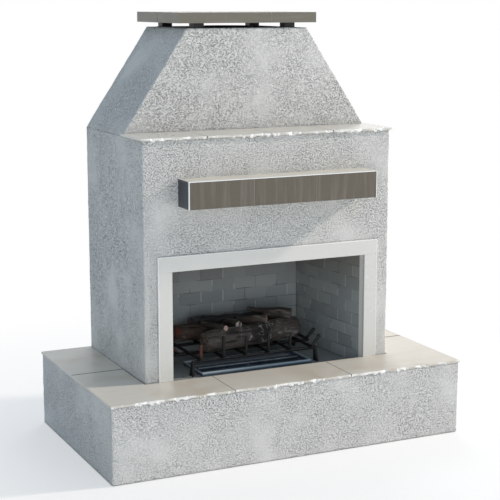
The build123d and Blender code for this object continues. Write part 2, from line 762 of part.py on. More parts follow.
# Hood frame: sloped rafters at the corners, rails across their heads and feet
rafter_inset = render + board
rafter_top = hood_wall_top - tube
hood_front_rail = (hood_frame_y, hood_frame_y + tube)
head_rail_x = hood_half(hood_wall_top, rafter_inset)
foot_rail_x = hood_base_half - rafter_inset - tube
with BuildPart() as hood_frame:
    for rafter_y in (hood_front_rail, back_rail):
        hood_band((rafter_inset, rafter_inset + tube), rafter_y, (shoulder_board_top, rafter_top))
        slab((-head_rail_x, head_rail_x), rafter_y, (rafter_top, hood_wall_top))
        slab((-foot_rail_x, foot_rail_x), rafter_y, (shoulder_board_top, shoulder_board_top + tube))
    for rail_x in both_sides(head_rail_x - tube, head_rail_x):
        slab(rail_x, (hood_front_rail[1], back_rail[0]), (rafter_top, hood_wall_top))
    for rafter_y in (hood_front_rail, back_rail):
        inner_y = (rafter_y[0] + tube_wall, rafter_y[1] - tube_wall)
        hood_band(
            (rafter_inset + tube_wall, rafter_inset + tube - tube_wall),
            inner_y,
            (shoulder_board_top + tube_wall, rafter_top - tube_wall),
            mode=Mode.SUBTRACT,
        )
        slab(
            (tube_wall - head_rail_x, head_rail_x - tube_wall),
            inner_y,
            (rafter_top + tube_wall, hood_wall_top - tube_wall),
            mode=Mode.SUBTRACT,
        )
        slab(
            (tube_wall - foot_rail_x, foot_rail_x - tube_wall),
            inner_y,
            (shoulder_board_top + tube_wall, shoulder_board_top + tube - tube_wall),
            mode=Mode.SUBTRACT,
        )
hood_frame.part.label = "hood_frame"
export_step(hood_frame.part, "parts/hood_frame.step")

# Top plate under the cap posts, let into the render
post_size = 50.8
post_x = 228.0
post_inset = 30.0
plate_margin = 4.0
plate_half_x = post_x + post_size / 2 + plate_margin
plate_y = (hood_front_y + post_inset - plate_margin, back_y - post_inset + plate_margin)
plate_fit = 0.3
with BuildPart() as chimney_top_plate:
    slab((-plate_half_x, plate_half_x), plate_y, (hood_board_top, plate_top))
    with Locations((0, flue_y, plate_top)):
        Hole(flue_radius + sleeve_fit)
chimney_top_plate.part.label = "chimney_top_plate"
export_step(chimney_top_plate.part, "parts/chimney_top_plate.step")

# Hood render, a skin on the four walls and round the top plate
with BuildPart() as hood_stucco:
    hood_prism(0, (hood_front_y, back_y), (shoulder_board_top, hood_top))
    hood_prism(render, (hood_board_y, back_board_y), (shoulder_board_top, hood_board_top), mode=Mode.SUBTRACT)
    slab(
        (-plate_half_x - plate_fit, plate_half_x + plate_fit),
        (plate_y[0] - plate_fit, plate_y[1] + plate_fit),
        (hood_wall_top, hood_top + cut_overrun),
        mode=Mode.SUBTRACT,
    )
hood_stucco.part.label = "hood_stucco"
export_step(hood_stucco.part, "parts/hood_stucco.step")

# Cap posts
post_wall = 3.0
post_y = (hood_front_y + post_inset + post_size / 2, back_y - post_inset - post_size / 2)
with BuildPart() as cap_posts:
    with BuildSketch(Plane.XY.offset(plate_top)):
        for centre_y in post_y:
            with Locations((post_x, centre_y), (-post_x, centre_y)):
                Rectangle(post_size, post_size)
                Rectangle(post_size - 2 * post_wall, post_size - 2 * post_wall, mode=Mode.SUBTRACT)
    extrude(amount=cap_bottom - plate_top)
cap_posts.part.label = "cap_posts"
export_step(cap_posts.part, "parts/cap_posts.step")

# Cap: slab, edge tiles and top tile
cap_half = cap_width / 2
cap_y = (hood_front_y - cap_overhang, back_y + cap_overhang)
cap_core_y = (cap_y[0] + tile, cap_y[1] - tile)
with BuildPart() as cap_core:
    slab((tile - cap_half, cap_half - tile), cap_core_y, (cap_bottom, cap_top - tile))
cap_core.part.label = "cap_core"
export_step(cap_core.part, "parts/cap_core.step")

with BuildPart() as cap_top_tile:
    slab((tile - cap_half, cap_half - tile), cap_core_y, (cap_top - tile, cap_top))
cap_top_tile.part.label = "cap_top_tile"
export_step(cap_top_tile.part, "parts/cap_top_tile.step")

fascia_front_count = 3
fascia_side_count = 2
fascia_front = (2 * cap_half - (fascia_front_count - 1) * tile_joint) / fascia_front_count
fascia_side_run = cap_core_y[1] - cap_core_y[0] - 2 * sheet_joint
fascia_side = (fascia_side_run - (fascia_side_count - 1) * tile_joint) / fascia_side_count
with BuildPart() as cap_fascia_tiles:
    for index in range(fascia_front_count):
        fascia_x = index * (fascia_front + tile_joint) - cap_half
        for fascia_y in ((cap_y[0], cap_core_y[0]), (cap_core_y[1], cap_y[1])):
            slab((fascia_x, fascia_x + fascia_front), fascia_y, (cap_bottom, cap_top))
    for index in range(fascia_side_count):
        fascia_y = cap_core_y[0] + sheet_joint + index * (fascia_side + tile_joint)
        for fascia_x in both_sides(cap_half - tile, cap_half):
            slab(fascia_x, (fascia_y, fascia_y + fascia_side), (cap_bottom, cap_top))
cap_fascia_tiles.part.label = "cap_fascia_tiles"
export_step(cap_fascia_tiles.part, "parts/cap_fascia_tiles.step")

# Burner pan: folded steel tray on the firebox floor
pan_width = 562.0
pan_setback = 95.0
pan_depth = 227.0
pan_front_y = firebox_front_y + pan_setback
pan_y = (pan_front_y, pan_front_y + pan_depth)
pan_top = 327.0
pan_sheet = 1.5
pan_hem = 6.0
inlet_radius = 7.0
inlet_fit = 0.5
pan_half = pan_width / 2
with BuildPart() as burner_pan:
    slab((-pan_half, pan_half), pan_y, (firebox_floor_z, pan_top))
    slab(
        (pan_sheet - pan_half, pan_half - pan_sheet),
        (pan_y[0] + pan_sheet, pan_y[1] - pan_sheet),
        (firebox_floor_z + pan_sheet, pan_top + cut_overrun),
        mode=Mode.SUBTRACT,
    )
    for hem_y in ((pan_y[0], pan_y[0] + pan_hem), (pan_y[1] - pan_hem, pan_y[1])):
        slab((-pan_half, pan_half), hem_y, (pan_top - pan_sheet, pan_top))
    with Locations((0, burner_y, pan_top)):
        Hole(inlet_radius + inlet_fit)
burner_pan.part.label = "burner_pan"
export_step(burner_pan.part, "parts/burner_pan.step")

# Burner: a ported tube lying in the pan, with its inlet through the floor
burner_radius = 8.0
burner_wall = 1.5
burner_length = 520.0
burner_port_radius = 1.2
burner_port_pitch = 20.0
burner_port_count = 24
inlet_bottom = 228.0
burner_z = firebox_floor_z + pan_sheet + burner_radius
with BuildPart() as burner_tube:
    with Locations(Location((0, burner_y, burner_z), (0, 90, 0))):
        Cylinder(burner_radius, burner_length)
    with BuildSketch(Plane.XY.offset(inlet_bottom)):
        with Locations((0, burner_y)):
            Circle(inlet_radius)
    extrude(amount=burner_z - inlet_bottom)
    with Locations(Location((0, burner_y, burner_z), (0, 90, 0))):
        Cylinder(burner_radius - burner_wall, burner_length - 2 * burner_wall, mode=Mode.SUBTRACT)
    with BuildSketch(Plane.XY.offset(inlet_bottom)):
        with Locations((0, burner_y)):
            Circle(inlet_radius - burner_wall)
    extrude(amount=burner_z - inlet_bottom, mode=Mode.SUBTRACT)
    with Locations((0, burner_y, burner_z)):
        with GridLocations(burner_port_pitch, 0, burner_port_count, 1):
            Cylinder(
                burner_port_radius,
                2 * burner_radius,
                align=(Align.CENTER, Align.CENTER, Align.MIN),
                mode=Mode.SUBTRACT,
            )
burner_tube.part.label = "burner_tube"
export_step(burner_tube.part, "parts/burner_tube.step")


def bent_rod(points, radius, bend, bore=0):
    """Round rod or pipe along straight runs joined by arcs."""
    with BuildPart() as piece:
        with BuildLine():
            if bend:
                FilletPolyline(*points, radius=bend)
            else:
                Polyline(*points)
        with BuildSketch(Plane(origin=points[0], z_dir=Vector(*points[1]) - Vector(*points[0]))):
            Circle(radius)
            if bore:
                Circle(bore, mode=Mode.SUBTRACT)
        sweep()
    return piece.part


# Gas supply pipe, out of the ground and forward to the valve
gas_z = 150.0
supply_radius = 10.65
supply_wall = 2.8
supply_setback = 84.65
supply_y = back_y - supply_setback
supply_bend = 40.0
valve_length = 50.0
valve_reach = 60.0
valve_y = (supply_y - valve_reach - valve_length, supply_y - valve_reach)
supply_route = ((0, supply_y, 0), (0, supply_y, gas_z), (0, valve_y[1], gas_z))
supply = bent_rod(supply_route, supply_radius, supply_bend, bore=supply_radius - supply_wall)
with BuildPart() as gas_supply_pipe:
    add(supply)
gas_supply_pipe.part.label = "gas_supply_pipe"
export_step(gas_supply_pipe.part, "parts/gas_supply_pipe.step")

# Valve body: barrel with a hexagon at each end and a boss for the stem
valve_radius = 15.0
valve_hex_radius = 18.0
valve_hex_length = 12.0
valve_boss_radius = 9.0
valve_boss_top = 26.0
valve_port_radius = 6.0
stem_radius = 4.0
stem_fit = 0.05
stem_depth = 14.0
valve_centre_y = (valve_y[0] + valve_y[1]) / 2
boss_z = gas_z + valve_boss_top
with BuildPart() as gas_valve_body:
    along_y([(0, gas_z)], valve_radius, valve_y)
    for hex_y in (valve_y[0] + valve_hex_length, valve_y[1]):
        with BuildSketch(Plane.XZ.offset(-hex_y)):
            with Locations((0, gas_z)):
                RegularPolygon(valve_hex_radius, 6)
        extrude(amount=valve_hex_length)
    with BuildSketch(Plane.XY.offset(gas_z)):
        with Locations((0, valve_centre_y)):
            Circle(valve_boss_radius)
    extrude(amount=valve_boss_top)
    along_y([(0, gas_z)], valve_port_radius, valve_y, mode=Mode.SUBTRACT)
    with Locations((0, valve_centre_y, boss_z)):
        Hole(stem_radius + stem_fit, depth=stem_depth)
gas_valve_body.part.label = "gas_valve_body"
export_step(gas_valve_body.part, "parts/gas_valve_body.step")

# Valve lever, pointing back over the pipe when the gas is on
lever_gap = 0.3
lever_length = 88.0
lever_width = 18.0
lever_thickness = 4.0
lever_z = boss_z + lever_gap
with BuildPart() as gas_valve_lever:
    with BuildSketch(Plane.XY.offset(boss_z - stem_depth + lever_gap)):
        with Locations((0, valve_centre_y)):
            Circle(stem_radius)
    extrude(amount=stem_depth)
    with BuildSketch(Plane.XY.offset(lever_z)):
        with Locations((0, valve_centre_y + lever_length / 2 - lever_width / 2)):
            SlotOverall(lever_length, lever_width, rotation=90)
    extrude(amount=lever_thickness)
gas_valve_lever.part.label = "gas_valve_lever"
export_step(gas_valve_lever.part, "parts/gas_valve_lever.step")

# Corrugated connector from the valve to the burner inlet
connector_radius = 7.5
connector_wall = 1.0
connector_bend = 75.0
connector_route = ((0, valve_y[0], gas_z), (0, burner_y, gas_z), (0, burner_y, inlet_bottom))
connector_bore = connector_radius - connector_wall
connector = bent_rod(connector_route, connector_radius, connector_bend, bore=connector_bore)
with BuildPart() as gas_connector:
    add(connector)
gas_connector.part.label = "gas_connector"
export_step(gas_connector.part, "parts/gas_connector.step")

# Log grate: bent bars with a finger in front, on cross bars and splayed legs
bar_radius = 6.0
bar_z = 386.0
bar_setback = 101.0
bar_length = 344.0
bar_front_y = firebox_front_y + bar_setback
bar_back_y = bar_front_y + bar_length
bar_bend = 14.0
finger_spacing = 114.3
fire_grid = 10.0
finger_rise_shares = (6.6, 9.7, 8.4, 9.1, 6.4, 5.3)
end_finger_lean = 38.0
cross_drop = 11.0
cross_inset = 24.0
middle_cross_inset = 168.0
back_cross_inset = 10.0
front_cross_y = bar_front_y + cross_inset
middle_cross_y = bar_front_y + middle_cross_inset
back_cross_y = bar_back_y - back_cross_inset
front_cross_half = 315.0
cross_half = 352.0
foot_step = 12.0
end_bar_inset = 152.0
end_bar_front_y = bar_front_y + end_bar_inset
end_bar_front_x = 336.0
end_bar_rear_x = 346.0
end_finger_x = 376.0
end_finger_rise = 43.0
end_finger_top = bar_z + end_finger_rise
cross_z = bar_z - cross_drop
grate_routes = []
for index, rise_share in enumerate(finger_rise_shares):
    finger_top = bar_z + rise_share * fire_grid
    bar_x = (index - (len(finger_rise_shares) - 1) / 2) * finger_spacing
    lean = end_finger_lean if index == len(finger_rise_shares) - 1 else 0
    grate_routes.append(
        ((bar_x, bar_back_y, bar_z), (bar_x, bar_front_y, bar_z), (bar_x + lean, bar_front_y, finger_top))
    )
for side in (-1, 1):
    grate_routes.append(
        (
            (side * end_bar_rear_x, bar_back_y, bar_z),
            (side * end_bar_front_x, end_bar_front_y, bar_z),
            (side * end_finger_x, end_bar_front_y, end_finger_top),
        )
    )
leg_routes = []
foot_z = firebox_floor_z + bar_radius
for leg_y, leg_x in ((front_cross_y, front_cross_half), (back_cross_y, cross_half)):
    leg_routes.append(((-leg_x, leg_y, cross_z), (leg_x, leg_y, cross_z)))
    for side in (-1, 1):
        for step in (-foot_step, foot_step):
            leg_routes.append(
                ((side * leg_x, leg_y, cross_z), (side * (leg_x + bar_radius), leg_y + step, foot_z))
            )
leg_routes.append(((-cross_half, middle_cross_y, cross_z), (cross_half, middle_cross_y, cross_z)))
grate_rods = [bent_rod(route, bar_radius, bar_bend) for route in grate_routes]
grate_rods += [bent_rod(route, bar_radius, 0) for route in leg_routes]
ball_places = [route[0] for route in grate_routes]
ball_places += [route[-1] for route in grate_routes]
for route in leg_routes:
    ball_places += [route[0], route[-1]]
with BuildPart() as log_grate:
    for rod in grate_rods:
        add(rod)
    with Locations(*ball_places):
        Sphere(bar_radius)
log_grate.part.label = "log_grate"
export_step(log_grate.part, "parts/log_grate.step")

# Ceramic logs, each given by points along its axis and its radius there. The points are counted from
# the front of the firebox and the grate's bars.
log_gap = 0.3
log_shape_shares = {
    "front": (
        (-23.8, 18.9, 5.7), (-21.1, 19.1, 5.7), (-12.0, 20.6, 5.8), (2.1, 22.6, 5.9),
        (15.0, 25.7, 5.9), (26.5, 28.9, 5.9), (29.2, 29.6, 5.9),
    ),
    "back": (
        (-28.4, 43.8, 4.9), (-15.0, 43.1, 4.95), (0.0, 42.3, 4.9), (13.0, 42.2, 4.95),
        (25.8, 41.5, 4.9),
    ),
    "top": ((-21.4, 40.6, 11.1), (-11.0, 40.9, 10.8), (-1.1, 40.6, 10.3), (18.2, 40.6, 9.9)),
    "small": ((-12.7, 17.6, 11.6), (-14.6, 26.9, 10.8), (-16.5, 37.4, 10.2)),
    "stub": ((-4.6, 20.6, 11.9), (-4.0, 26.9, 11.4), (-3.6, 37.4, 10.2)),
    "middle": ((12.5, 25.6, 11.8), (7.5, 28.9, 11.4), (2.0, 35.9, 10.1)),
    "fork_arm": ((7.4, 36.6, 15.1), (13.0, 36.7, 13.8), (18.4, 35.9, 12.8)),
    "fork_body": ((16.0, 37.4, 12.6), (22.4, 32.6, 12.0), (27.2, 29.3, 11.4)),
}
log_radius_shares = {
    "front": (4.7, 5.1, 5.4, 5.1, 5.3, 5.4, 4.9),
    "back": (4.0, 4.5, 4.3, 4.5, 4.1),
    "top": (1.9, 2.2, 2.1, 2.0),
    "small": (1.3, 1.5, 1.4),
    "stub": (1.7, 1.8, 1.6),
    "middle": (2.0, 2.1, 1.8),
    "fork_arm": (1.1, 1.3, 1.7),
    "fork_body": (2.0, 3.3, 3.4),
}


def log_solid(name, growth=0):
    """Log lofted through round sections square to its axis, thickened by a growth."""
    points = [
        (x * fire_grid, firebox_front_y + y * fire_grid, bar_z + z * fire_grid)
        for x, y, z in log_shape_shares[name]
    ]
    last = len(points) - 1
    with BuildPart() as piece:
        for index, radius_share in enumerate(log_radius_shares[name]):
            ahead = Vector(*points[min(index + 1, last)]) - Vector(*points[max(index - 1, 0)])
            with BuildSketch(Plane(origin=points[index], z_dir=ahead)):
                Circle(radius_share * fire_grid + growth)
        loft()
    return piece.part


bar_seats = [bent_rod(route, bar_radius + log_gap, bar_bend) for route in grate_routes]
grown = {name: log_solid(name, log_gap) for name in log_shape_shares}

# Front log, notched where it lies on the bars
front_log = log_solid("front")
with BuildPart() as log_front:
    add(front_log)
    for seat in bar_seats:
        add(seat, mode=Mode.SUBTRACT)
log_front.part.label = "log_front"
export_step(log_front.part, "parts/log_front.step")

# Back log, notched where it lies on the bars
back_log = log_solid("back")
with BuildPart() as log_back:
    add(back_log)
    for seat in bar_seats:
        add(seat, mode=Mode.SUBTRACT)
log_back.part.label = "log_back"
export_step(log_back.part, "parts/log_back.step")

# Charred log, saddled on the back log
top_log = log_solid("top")
with BuildPart() as log_top_charred:
    add(top_log)
    add(grown["back"], mode=Mode.SUBTRACT)
log_top_charred.part.label = "log_top_charred"
export_step(log_top_charred.part, "parts/log_top_charred.step")

# Small left log, from the front log to the charred log
small_log = log_solid("small")
with BuildPart() as log_small_left:
    add(small_log)
    for carrier in ("front", "back", "top"):
        add(grown[carrier], mode=Mode.SUBTRACT)
log_small_left.part.label = "log_small_left"
export_step(log_small_left.part, "parts/log_small_left.step")

# Stub log behind the middle of the front log
stub_log = log_solid("stub")
with BuildPart() as log_stub:
    add(stub_log)
    for carrier in ("front", "back", "top"):
        add(grown[carrier], mode=Mode.SUBTRACT)
log_stub.part.label = "log_stub"
export_step(log_stub.part, "parts/log_stub.step")

# Middle log, leaning back over the front log
middle_log = log_solid("middle")
with BuildPart() as log_middle:
    add(middle_log)
    for carrier in ("front", "back", "top", "stub"):
        add(grown[carrier], mode=Mode.SUBTRACT)
log_middle.part.label = "log_middle"
export_step(log_middle.part, "parts/log_middle.step")

# Forked log on the right, across the front log and the charred log
fork_body_log = log_solid("fork_body")
fork_arm_log = log_solid("fork_arm")
with BuildPart() as log_forked_right:
    add(fork_body_log)
    add(fork_arm_log)
    for carrier in ("front", "back", "top", "middle"):
        add(grown[carrier], mode=Mode.SUBTRACT)
log_forked_right.part.label = "log_forked_right"
export_step(log_forked_right.part, "parts/log_forked_right.step")

# Access door frame: sleeve through the wall, flange outside, knuckles and strike
frame_sheet = 2.0
hinge_reach = 70.0
hinge_z = (door_centre_z - hinge_reach, door_centre_z + hinge_reach)
knuckle_radius = 3.5
knuckle_gap = 0.3
knuckle_height = 15.0
leaf_knuckle_height = 20.0
pin_radius = 1.5
pin_fit = 0.05
axis_gap = 0.1
web_half = 1.5
strike_x = 179.0
strike_setback = 12.65
strike_y = (back_y - strike_setback, back_y - strike_setback + frame_sheet)
strike_half = 15.0
sleeve_x = door_frame_width / 2
sleeve_z = (door_centre_z - door_frame_height / 2, door_centre_z + door_frame_height / 2)
door_open_x = sleeve_x - frame_sheet
door_open_z = (sleeve_z[0] + frame_sheet, sleeve_z[1] - frame_sheet)
flange_y = (back_y, back_y + flange_thickness)
hinge_x = -sleeve_x - knuckle_radius - axis_gap
hinge_y = flange_y[1] + knuckle_radius + axis_gap
knuckle_base = leaf_knuckle_height / 2 + knuckle_gap
with BuildPart() as access_door_frame:
    slab((-sleeve_x, sleeve_x), (back_frame_y, flange_y[1]), sleeve_z)
    slab((-sleeve_x - flange, sleeve_x + flange), flange_y, (sleeve_z[0] - flange, sleeve_z[1] + flange))
    slab(
        (-door_open_x, door_open_x),
        (back_frame_y - cut_overrun, back_y + cut_overrun),
        door_open_z,
        mode=Mode.SUBTRACT,
    )
    slab((strike_x, sleeve_x), strike_y, (door_centre_z - strike_half, door_centre_z + strike_half))
    for centre_z in hinge_z:
        for low in (centre_z - knuckle_base - knuckle_height, centre_z + knuckle_base):
            slab((hinge_x - web_half, hinge_x + web_half), (back_y, hinge_y), (low, low + knuckle_height))
            with Locations((hinge_x, hinge_y, low)):
                Cylinder(knuckle_radius, knuckle_height, align=(Align.CENTER, Align.CENTER, Align.MIN))
            with Locations((hinge_x, hinge_y, low)):
                Cylinder(
                    pin_radius,
                    knuckle_height,
                    align=(Align.CENTER, Align.CENTER, Align.MIN),
                    mode=Mode.SUBTRACT,
                )
    along_y(door_screw_places, screw_radius + screw_fit, (back_y, back_y + cut_overrun), mode=Mode.SUBTRACT)
access_door_frame.part.label = "access_door_frame"
export_step(access_door_frame.part, "parts/access_door_frame.step")

# Access door: folded tray with a strap and knuckle for each hinge
leaf_gap = 1.5
leaf_sheet = 2.0
leaf_return = 10.0
latch_x = 170.0
latch_shaft_radius = 5.0
latch_fit = 0.05
strap_gap = 0.3
strap_reach = 26.0
leaf_x = door_open_x - leaf_gap
leaf_z = (door_open_z[0] + leaf_gap, door_open_z[1] - leaf_gap)
leaf_y = (flange_y[1] - leaf_sheet - leaf_return, flange_y[1])
strap_y = (flange_y[1] + strap_gap, flange_y[1] + strap_gap + leaf_sheet)
with BuildPart() as access_door:
    slab((-leaf_x, leaf_x), leaf_y, leaf_z)
    slab(
        (leaf_sheet - leaf_x, leaf_x - leaf_sheet),
        (leaf_y[0] - cut_overrun, leaf_y[1] - leaf_sheet),
        (leaf_z[0] + leaf_sheet, leaf_z[1] - leaf_sheet),
        mode=Mode.SUBTRACT,
    )
    for centre_z in hinge_z:
        strap_z = (centre_z - leaf_knuckle_height / 2, centre_z + leaf_knuckle_height / 2)
        slab((hinge_x, strap_reach - leaf_x), strap_y, strap_z)
        slab((-leaf_x, strap_reach - leaf_x), (leaf_y[1], strap_y[1]), strap_z)
        with Locations((hinge_x, hinge_y, strap_z[0])):
            Cylinder(knuckle_radius, leaf_knuckle_height, align=(Align.CENTER, Align.CENTER, Align.MIN))
        with Locations((hinge_x, hinge_y, strap_z[0])):
            Cylinder(
                pin_radius + pin_fit,
                leaf_knuckle_height,
                align=(Align.CENTER, Align.CENTER, Align.MIN),
                mode=Mode.SUBTRACT,
            )
    along_y([(latch_x, door_centre_z)], latch_shaft_radius + latch_fit, leaf_y, mode=Mode.SUBTRACT)
access_door.part.label = "access_door"
export_step(access_door.part, "parts/access_door.step")

# Hinge pins
pin_length = leaf_knuckle_height + 2 * knuckle_gap + 2 * knuckle_height
pin_head_radius = 2.6
pin_head = 1.5
with BuildPart() as door_hinge_pins:
    for centre_z in hinge_z:
        with Locations((hinge_x, hinge_y, centre_z)):
            Cylinder(pin_radius, pin_length)
        with Locations((hinge_x, hinge_y, centre_z + pin_length / 2)):
            Cylinder(pin_head_radius, pin_head, align=(Align.CENTER, Align.CENTER, Align.MIN))
door_hinge_pins.part.label = "door_hinge_pins"
export_step(door_hinge_pins.part, "parts/door_hinge_pins.step")

# Quarter-turn cam latch, cam hanging down at rest
latch_head_radius = 11.0
latch_head = 4.0
latch_slot = 2.0
latch_slot_length = 16.0
cam_reach = 18.0
cam_width = 10.0
cam_thickness = 3.2
cam_gap = 0.3
latch_y = (strike_y[0] - cam_gap - cam_thickness, leaf_y[1] + cam_gap)
cam_y = (latch_y[0], latch_y[0] + cam_thickness)
head_y = (latch_y[1], latch_y[1] + latch_head)
with BuildPart() as door_latch:
    along_y([(latch_x, door_centre_z)], latch_shaft_radius, latch_y)
    along_y([(latch_x, door_centre_z)], latch_head_radius, head_y)
    slab(
        (latch_x - cam_width / 2, latch_x + cam_width / 2),
        cam_y,
        (door_centre_z - cam_reach, door_centre_z + cam_width / 2),
    )
    slab(
        (latch_x - latch_slot / 2, latch_x + latch_slot / 2),
        (head_y[1] - latch_slot, head_y[1] + cut_overrun),
        (door_centre_z - latch_slot_length / 2, door_centre_z + latch_slot_length / 2),
        mode=Mode.SUBTRACT,
    )
door_latch.part.label = "door_latch"
export_step(door_latch.part, "parts/door_latch.step")

# Vent inserts: sleeve, flange and sloping blades
vent_sheet = 1.5
blade_count = 4
blade_depth = 20.0
blade_tilt = 35.0
with BuildPart() as vent_louvres:
    for centre_x in (-vent_x, vent_x):
        vent_low = centre_x - vent_width / 2
        vent_high = centre_x + vent_width / 2
        vent_floor = vent_z - vent_height / 2
        vent_roof = vent_z + vent_height / 2
        slab((vent_low, vent_high), (back_frame_y, flange_y[1]), (vent_floor, vent_roof))
        slab((vent_low - flange, vent_high + flange), flange_y, (vent_floor - flange, vent_roof + flange))
        slab(
            (vent_low + vent_sheet, vent_high - vent_sheet),
            (back_frame_y - cut_overrun, back_y + cut_overrun),
            (vent_floor + vent_sheet, vent_roof - vent_sheet),
            mode=Mode.SUBTRACT,
        )
        for blade in range(blade_count):
            blade_z = vent_floor + vent_height * (blade + half_share) / blade_count
            with Locations(Location((centre_x, (back_frame_y + back_y) / 2, blade_z), (-blade_tilt, 0, 0))):
                Box(vent_width - 2 * vent_sheet, blade_depth, vent_sheet)
    along_y(vent_screw_places, screw_radius + screw_fit, (back_y, back_y + cut_overrun), mode=Mode.SUBTRACT)
vent_louvres.part.label = "vent_louvres"
export_step(vent_louvres.part, "parts/vent_louvres.step")

# Screws of the door frame and the vents
screw_head_radius = 4.5
screw_head = 2.6
screw_dome = 1.2
with BuildPart() as door_frame_screws:
    along_y(screw_places, screw_radius, screw_y)
    along_y(screw_places, screw_head_radius, (screw_y[1], screw_y[1] + screw_head))
    chamfer(
        door_frame_screws.faces().group_by(Axis.Y)[-1].edges(),
        length=screw_dome,
    )
door_frame_screws.part.label = "door_frame_screws"
export_step(door_frame_screws.part, "parts/door_frame_screws.step")
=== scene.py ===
import itertools
import math

import bmesh
import bpy
import numpy as np
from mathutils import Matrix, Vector
from mathutils.geometry import delaunay_2d_cdt


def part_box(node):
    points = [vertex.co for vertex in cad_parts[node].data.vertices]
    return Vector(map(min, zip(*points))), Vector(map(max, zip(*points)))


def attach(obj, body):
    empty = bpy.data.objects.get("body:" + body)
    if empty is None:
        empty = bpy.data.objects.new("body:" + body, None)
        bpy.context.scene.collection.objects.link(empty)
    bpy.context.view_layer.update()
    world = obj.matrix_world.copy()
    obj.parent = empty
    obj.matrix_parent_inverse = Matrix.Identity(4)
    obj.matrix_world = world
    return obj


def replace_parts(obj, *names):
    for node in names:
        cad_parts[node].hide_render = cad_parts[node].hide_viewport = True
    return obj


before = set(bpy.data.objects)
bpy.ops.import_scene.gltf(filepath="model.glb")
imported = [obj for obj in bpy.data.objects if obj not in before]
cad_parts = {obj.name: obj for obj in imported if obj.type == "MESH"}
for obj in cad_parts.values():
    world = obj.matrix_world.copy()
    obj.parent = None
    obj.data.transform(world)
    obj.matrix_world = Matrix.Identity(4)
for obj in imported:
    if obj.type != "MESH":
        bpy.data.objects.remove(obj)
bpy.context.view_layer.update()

scene = bpy.context.scene
scene.view_settings.view_transform = "Standard"

# Viewpoint: standing in front and to the left, a little above the mantel. Its place, turn and lens
# were solved from the straight edges of the real object in the photograph.
view_place = (-2.6401, -5.5935, 2.0040)
degrees_down = 10.507
degrees_right = 25.376
lens_mm = 97.166
sensor_mm = 36.0
camera_data = bpy.data.cameras.new("viewpoint")
camera_data.lens = lens_mm
camera_data.sensor_width = sensor_mm
camera = bpy.data.objects.new("viewpoint", camera_data)
camera.location = view_place
camera.rotation_euler = (math.radians(90.0 - degrees_down), 0.0, math.radians(-degrees_right))
scene.collection.objects.link(camera)
scene.camera = camera


# Steel frames: square tube welded into the skeletons of hearth, body and hood, with the folded
# shell, dome and lintel. All of it is hot-dip galvanised, so it has a spangled, clouded zinc skin.
def tint(code):
    """Linear colour of a hex code: each channel undone from the screen curve."""
    channels = [int(code[i:i + 2], 16) / 255 for i in (0, 2, 4)]
    return tuple(c / 12.92 if c <= 0.04045 else ((c + 0.055) / 1.055) ** 2.4 for c in channels) + (1.0,)


def add_node(owner, kind, given=None, **settings):
    """Shader node of a material, world or group, with its settings. Each given value goes to the input
    of that name or number, by a link where the value is the output of another node."""
    tree = getattr(owner, "node_tree", owner)
    node = tree.nodes.new("ShaderNode" + kind)
    for label, value in settings.items():
        setattr(node, label, value)
    for label, value in (given or {}).items():
        if isinstance(value, bpy.types.NodeSocket):
            tree.links.new(value, node.inputs[label])
        else:
            node.inputs[label].default_value = value
    return node


def reckon(owner, operation, *values, clamp=False):
    """Result of one arithmetic step on node outputs or numbers."""
    return add_node(owner, "Math", dict(enumerate(values)), operation=operation, use_clamp=clamp).outputs[0]


def position(owner):
    """Object coordinates in metres."""
    return add_node(owner, "TexCoord").outputs["Object"]


def along(owner, axis, vector=None):
    """X, Y or Z of a vector, or of the Object coordinates."""
    return add_node(owner, "SeparateXYZ", {0: position(owner) if vector is None else vector}).outputs[axis]


def noise(owner, size, detail=2.0, place=None, **more):
    """Noise of that many waves per metre, over the Object coordinates or another place."""
    return add_node(owner, "TexNoise", {"Vector": position(owner) if place is None else place, "Scale": size,
                                        "Detail": detail, **more})


def spread(owner, value, contrast):
    """Mask pushed away from its middle: what it is above one half, times the contrast, plus one half."""
    return reckon(owner, "MULTIPLY_ADD", reckon(owner, "SUBTRACT", value, 0.5), contrast, 0.5, clamp=True)


def effect_group(name, inputs, outputs):
    """Empty node group whose inputs and outputs are a name and a kind of socket each; gives back the
    group, what comes in and what goes out."""
    group = bpy.data.node_groups.new(name, "ShaderNodeTree")
    for way, sockets in (("INPUT", inputs), ("OUTPUT", outputs)):
        for label, kind in sockets.items():
            group.interface.new_socket(label, in_out=way, socket_type="NodeSocket" + kind)
    return group, group.nodes.new("NodeGroupInput").outputs, group.nodes.new("NodeGroupOutput").inputs


def mottle_group():
    """Two colours mixed by layered noise: a broad cloud times a share plus a fine speckle times the rest."""
    group, given, result = effect_group(
        "mottle",
        {"Cloud size": "Float", "Speckle size": "Float", "Speckle share": "Float", "Contrast": "Float",
         "Light": "Color", "Dark": "Color"},
        {"Colour": "Color", "Mask": "Float"})
    cloud = noise(group, given["Cloud size"], detail=6.0).outputs["Fac"]
    speckle = noise(group, given["Speckle size"], detail=3.0).outputs["Fac"]
    both = add_node(group, "Mix", {"Factor": given["Speckle share"], 2: cloud, 3: speckle}).outputs[0]
    mask = spread(group, both, given["Contrast"])
    colour = add_node(group, "Mix", {"Factor": mask, 6: given["Dark"], 7: given["Light"]}, data_type="RGBA")
    group.links.new(colour.outputs[2], result["Colour"])
    group.links.new(mask, result["Mask"])
    return group


def tooth_group():
    """Surface normal roughened by fine noise of a given grain size and height in metres."""
    group, given, result = effect_group(
        "tooth", {"Grain size": "Float", "Height": "Float", "Strength": "Float"}, {"Normal": "Vector"})
    grain = noise(group, given["Grain size"], detail=5.0, Roughness=0.6).outputs["Fac"]
    bump = add_node(group, "Bump", {"Distance": given["Height"], "Strength": given["Strength"],
                                    "Height": grain})
    group.links.new(bump.outputs["Normal"], result["Normal"])
    return group


